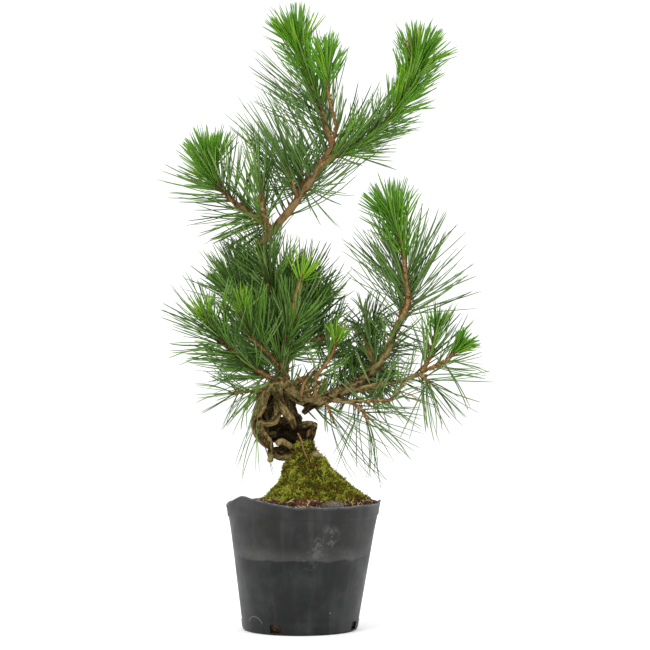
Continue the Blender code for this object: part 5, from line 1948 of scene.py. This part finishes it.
    def add_spray(self, limb: Limb, spray: Spray, own: Rows, others: Rows, luck: Luck,
                  interlock: float) -> None:
        """Add a spray of paired needles, less those that leave the mass's space or touch a limb.

        Args:
            limb: What carries it.
            spray: Its rule.
            own: Points of the mass's own stems.
            others: Points of the other masses' stems.
            luck: Where the random numbers come from.
            interlock: How far needles reach in among those of other masses.
        """
        count = spray.count
        shares = (np.arange(count) + 0.5) / count
        places = spray.start + (spray.end - spray.start) * shares ** spray.crowding
        pitches = np.radians(spray.pitch_low + (spray.pitch_tip - spray.pitch_low) * shares
                             + luck.normal(0.0, spray.scatter, count))
        angles = luck.uniform(0.0, 2.0 * np.pi) + np.arange(count) * GOLDEN_ANGLE
        angles += luck.normal(0.0, 0.15, count)
        headings = limb.headings(places)
        starts = unit(leaning(headings, angles, pitches) + vector(spray.pull) * 0.5)
        ends = unit(starts + vector(spray.pull) * 0.5 + headings * 0.10
                    + luck.normal(0.0, 0.012 * spray.scatter, starts.shape))
        lengths = spray.length * luck.uniform(0.82, 1.06, count)
        roots = limb.at(places)
        tips = roots + (starts + ends) * 0.5 * lengths[:, None]
        kept = self.in_space(roots, tips, own, others, interlock) & (starts[:, 1] > -spray.front)
        tints = luck.integers(0, len(spray.tints), count)
        dry = luck.random(count) < self.dry_share
        lengths[dry] *= 0.8
        tints[dry] = len(spray.tints)
        for number, tint in enumerate((*spray.tints, Tint.DRY)):
            chosen = kept & (tints == number)
            self.add_pairs(tint, roots[chosen], starts[chosen], ends[chosen], lengths[chosen],
                           spray.width, luck)
        self.add_sheaths(roots[kept], starts[kept], limb.radii(places)[kept], luck)

    def in_space(self, roots: Rows, tips: Rows, own: Rows, others: Rows, interlock: float) -> Rows:
        """Which needles keep to the mass's space and clear of wood, moss and pot.

        Args:
            roots: Where they start.
            tips: Where they end.
            own: Points of the mass's own stems.
            others: Points of the other masses' stems.
            interlock: How far needles reach in among those of other masses.

        Returns:
            True for each needle that is kept.
        """
        kept = distances(tips, own).min(axis=1) < distances(tips, others).min(axis=1) + interlock
        low = np.array(cad_low) / MM - self.box_margin
        high = np.array(cad_high) / MM + self.box_margin
        kept &= np.all((tips > low) & (tips < high), axis=1)
        level = tips[:, [0, 2]]
        kept &= ~np.all((level > vector(self.bare_low)) & (level < vector(self.bare_high)), axis=1)
        for share in self.probes:
            points = roots + (tips - roots) * share
            gaps = distances(points, self.wood_points) - self.wood_radii[None]
            kept &= gaps.min(axis=1) > self.wood_gap
            centre, radius = self.moss.reach(points[:, 2])
            flat = np.hypot(points[:, 0] - centre, points[:, 1])
            mossy = flat < radius * self.moss_growth + self.moss_room
            kept &= ~(mossy & (points[:, 2] < self.moss_top))
            kept &= points[:, 2] > self.lowest
        return kept

    def add_pairs(self, tint: Tint, roots: Rows, starts: Rows, ends: Rows, lengths: Rows, width: float,
                  luck: Luck) -> None:
        """Add two needles for each root, which part slowly.

        Args:
            tint: Their colour.
            roots: Where they start.
            starts: The way they start out.
            ends: The way they point at their tips.
            lengths: Their lengths.
            width: What their usual width is multiplied by.
            luck: Where the random numbers come from.
        """
        count = len(roots)
        if count == 0:
            return
        across, above = side_frames(starts)
        turn = luck.uniform(0.0, 2.0 * np.pi, count)[:, None]
        apart = (across * np.cos(turn) + above * np.sin(turn)) * luck.uniform(0.02, 0.10, count)[:, None]
        for way in (-1.0, 1.0):
            widths = self.half_width * width * luck.uniform(0.9, 1.12, count)
            shapes, faces = blades(roots, unit(starts + apart * way), unit(ends + apart * way * 1.8),
                                   lengths * luck.uniform(0.95, 1.03, count), widths,
                                   luck.uniform(0.0, np.pi, count))
            self.needles[tint].add(shapes, faces)

    def add_sheaths(self, roots: Rows, starts: Rows, radii: Rows, luck: Luck) -> None:
        """Add the brown sheath that holds each pair at its foot.

        Args:
            roots: Where the pairs start.
            starts: The way they start out.
            radii: The radii of the stem there.
            luck: Where the random numbers come from.
        """
        count = len(roots)
        if count == 0:
            return
        lengths = radii + self.sheath_length * luck.uniform(0.7, 1.2, count)
        shapes, faces = blades(roots, starts, starts, lengths * 1.15, np.full(count, self.sheath_half_width),
                               luck.uniform(0.0, np.pi, count))
        self.sheaths.add(shapes, faces)


# Studio.

@dataclass
class Studio:
    """A plain pale floor, soft light from all round, and the camera.

    A light is a name, a place in metres, the side of its square in metres, and its power in watts.
    """

    distance: float = 2300.0
    camera_height: float = 303.5
    camera_shift: float = 25.0
    lens: float = 127.4
    sensor: float = 36.0
    floor_size: float = 14.0
    room_light: float = 1.15
    aim: tuple = (0.0, 0.0, 0.32)
    lights: tuple = (("key", (-1.3, -1.7, 2.3), 1.2, 48.0), ("fill", (1.9, -1.2, 1.5), 1.4, 14.0),
                     ("back", (0.5, 1.6, 2.6), 1.4, 22.0))

    def build(self) -> None:
        """Set up the floor, the light and the camera."""
        self.build_floor()
        self.build_lights()
        data = bpy.data.cameras.new("camera")
        data.lens = self.lens
        data.sensor_width = self.sensor
        camera = new_object("camera", data)
        camera.location = (self.camera_shift * MM, -self.distance * MM, self.camera_height * MM)
        camera.rotation_euler = (math.pi / 2.0, 0.0, 0.0)
        bpy.context.scene.camera = camera

    def build_floor(self) -> None:
        """The floor, which isn't part of the plant."""
        deselect()
        bpy.ops.mesh.primitive_circle_add(vertices=96, radius=self.floor_size / 2.0, fill_type="NGON")
        floor = bpy.context.object
        floor.name = "pale_floor"
        make = Surface("pale_floor")
        make.set("Base Color", (0.90, 0.90, 0.90))
        make.set("Roughness", make.span(make.grain(60.0), 0.3, 0.7, 0.75, 0.85))
        floor.data.materials.append(make.material)

    def build_lights(self) -> None:
        """A white room and square softboxes that face the plant."""
        world = bpy.data.worlds.new("white_room")
        world.use_nodes = True
        background = world.node_tree.nodes["Background"]
        background.inputs["Color"].default_value = (1.0, 1.0, 1.0, 1.0)
        background.inputs["Strength"].default_value = self.room_light
        bpy.context.scene.world = world
        bpy.context.scene.view_settings.view_transform = "Standard"
        for name, place, size, power in self.lights:
            data = bpy.data.lights.new(name, "AREA")
            data.size = size
            data.energy = power
            light = new_object(name, data)
            light.location = place
            light.rotation_euler = (Vector(self.aim) - Vector(place)).to_track_quat("-Z", "Y").to_euler()


def main() -> None:
    """Build the plant, its pot and the studio round the frame."""
    logging.basicConfig(level=logging.INFO, format="%(message)s")
    pot = Pot()
    pot.build()
    Soil(pot).build()
    moss = Moss()
    moss.build()
    wood = Wood()
    wood.build()
    Foliage(wood, moss).build()
    Studio().build()


if __name__ == "__main__":
    main()
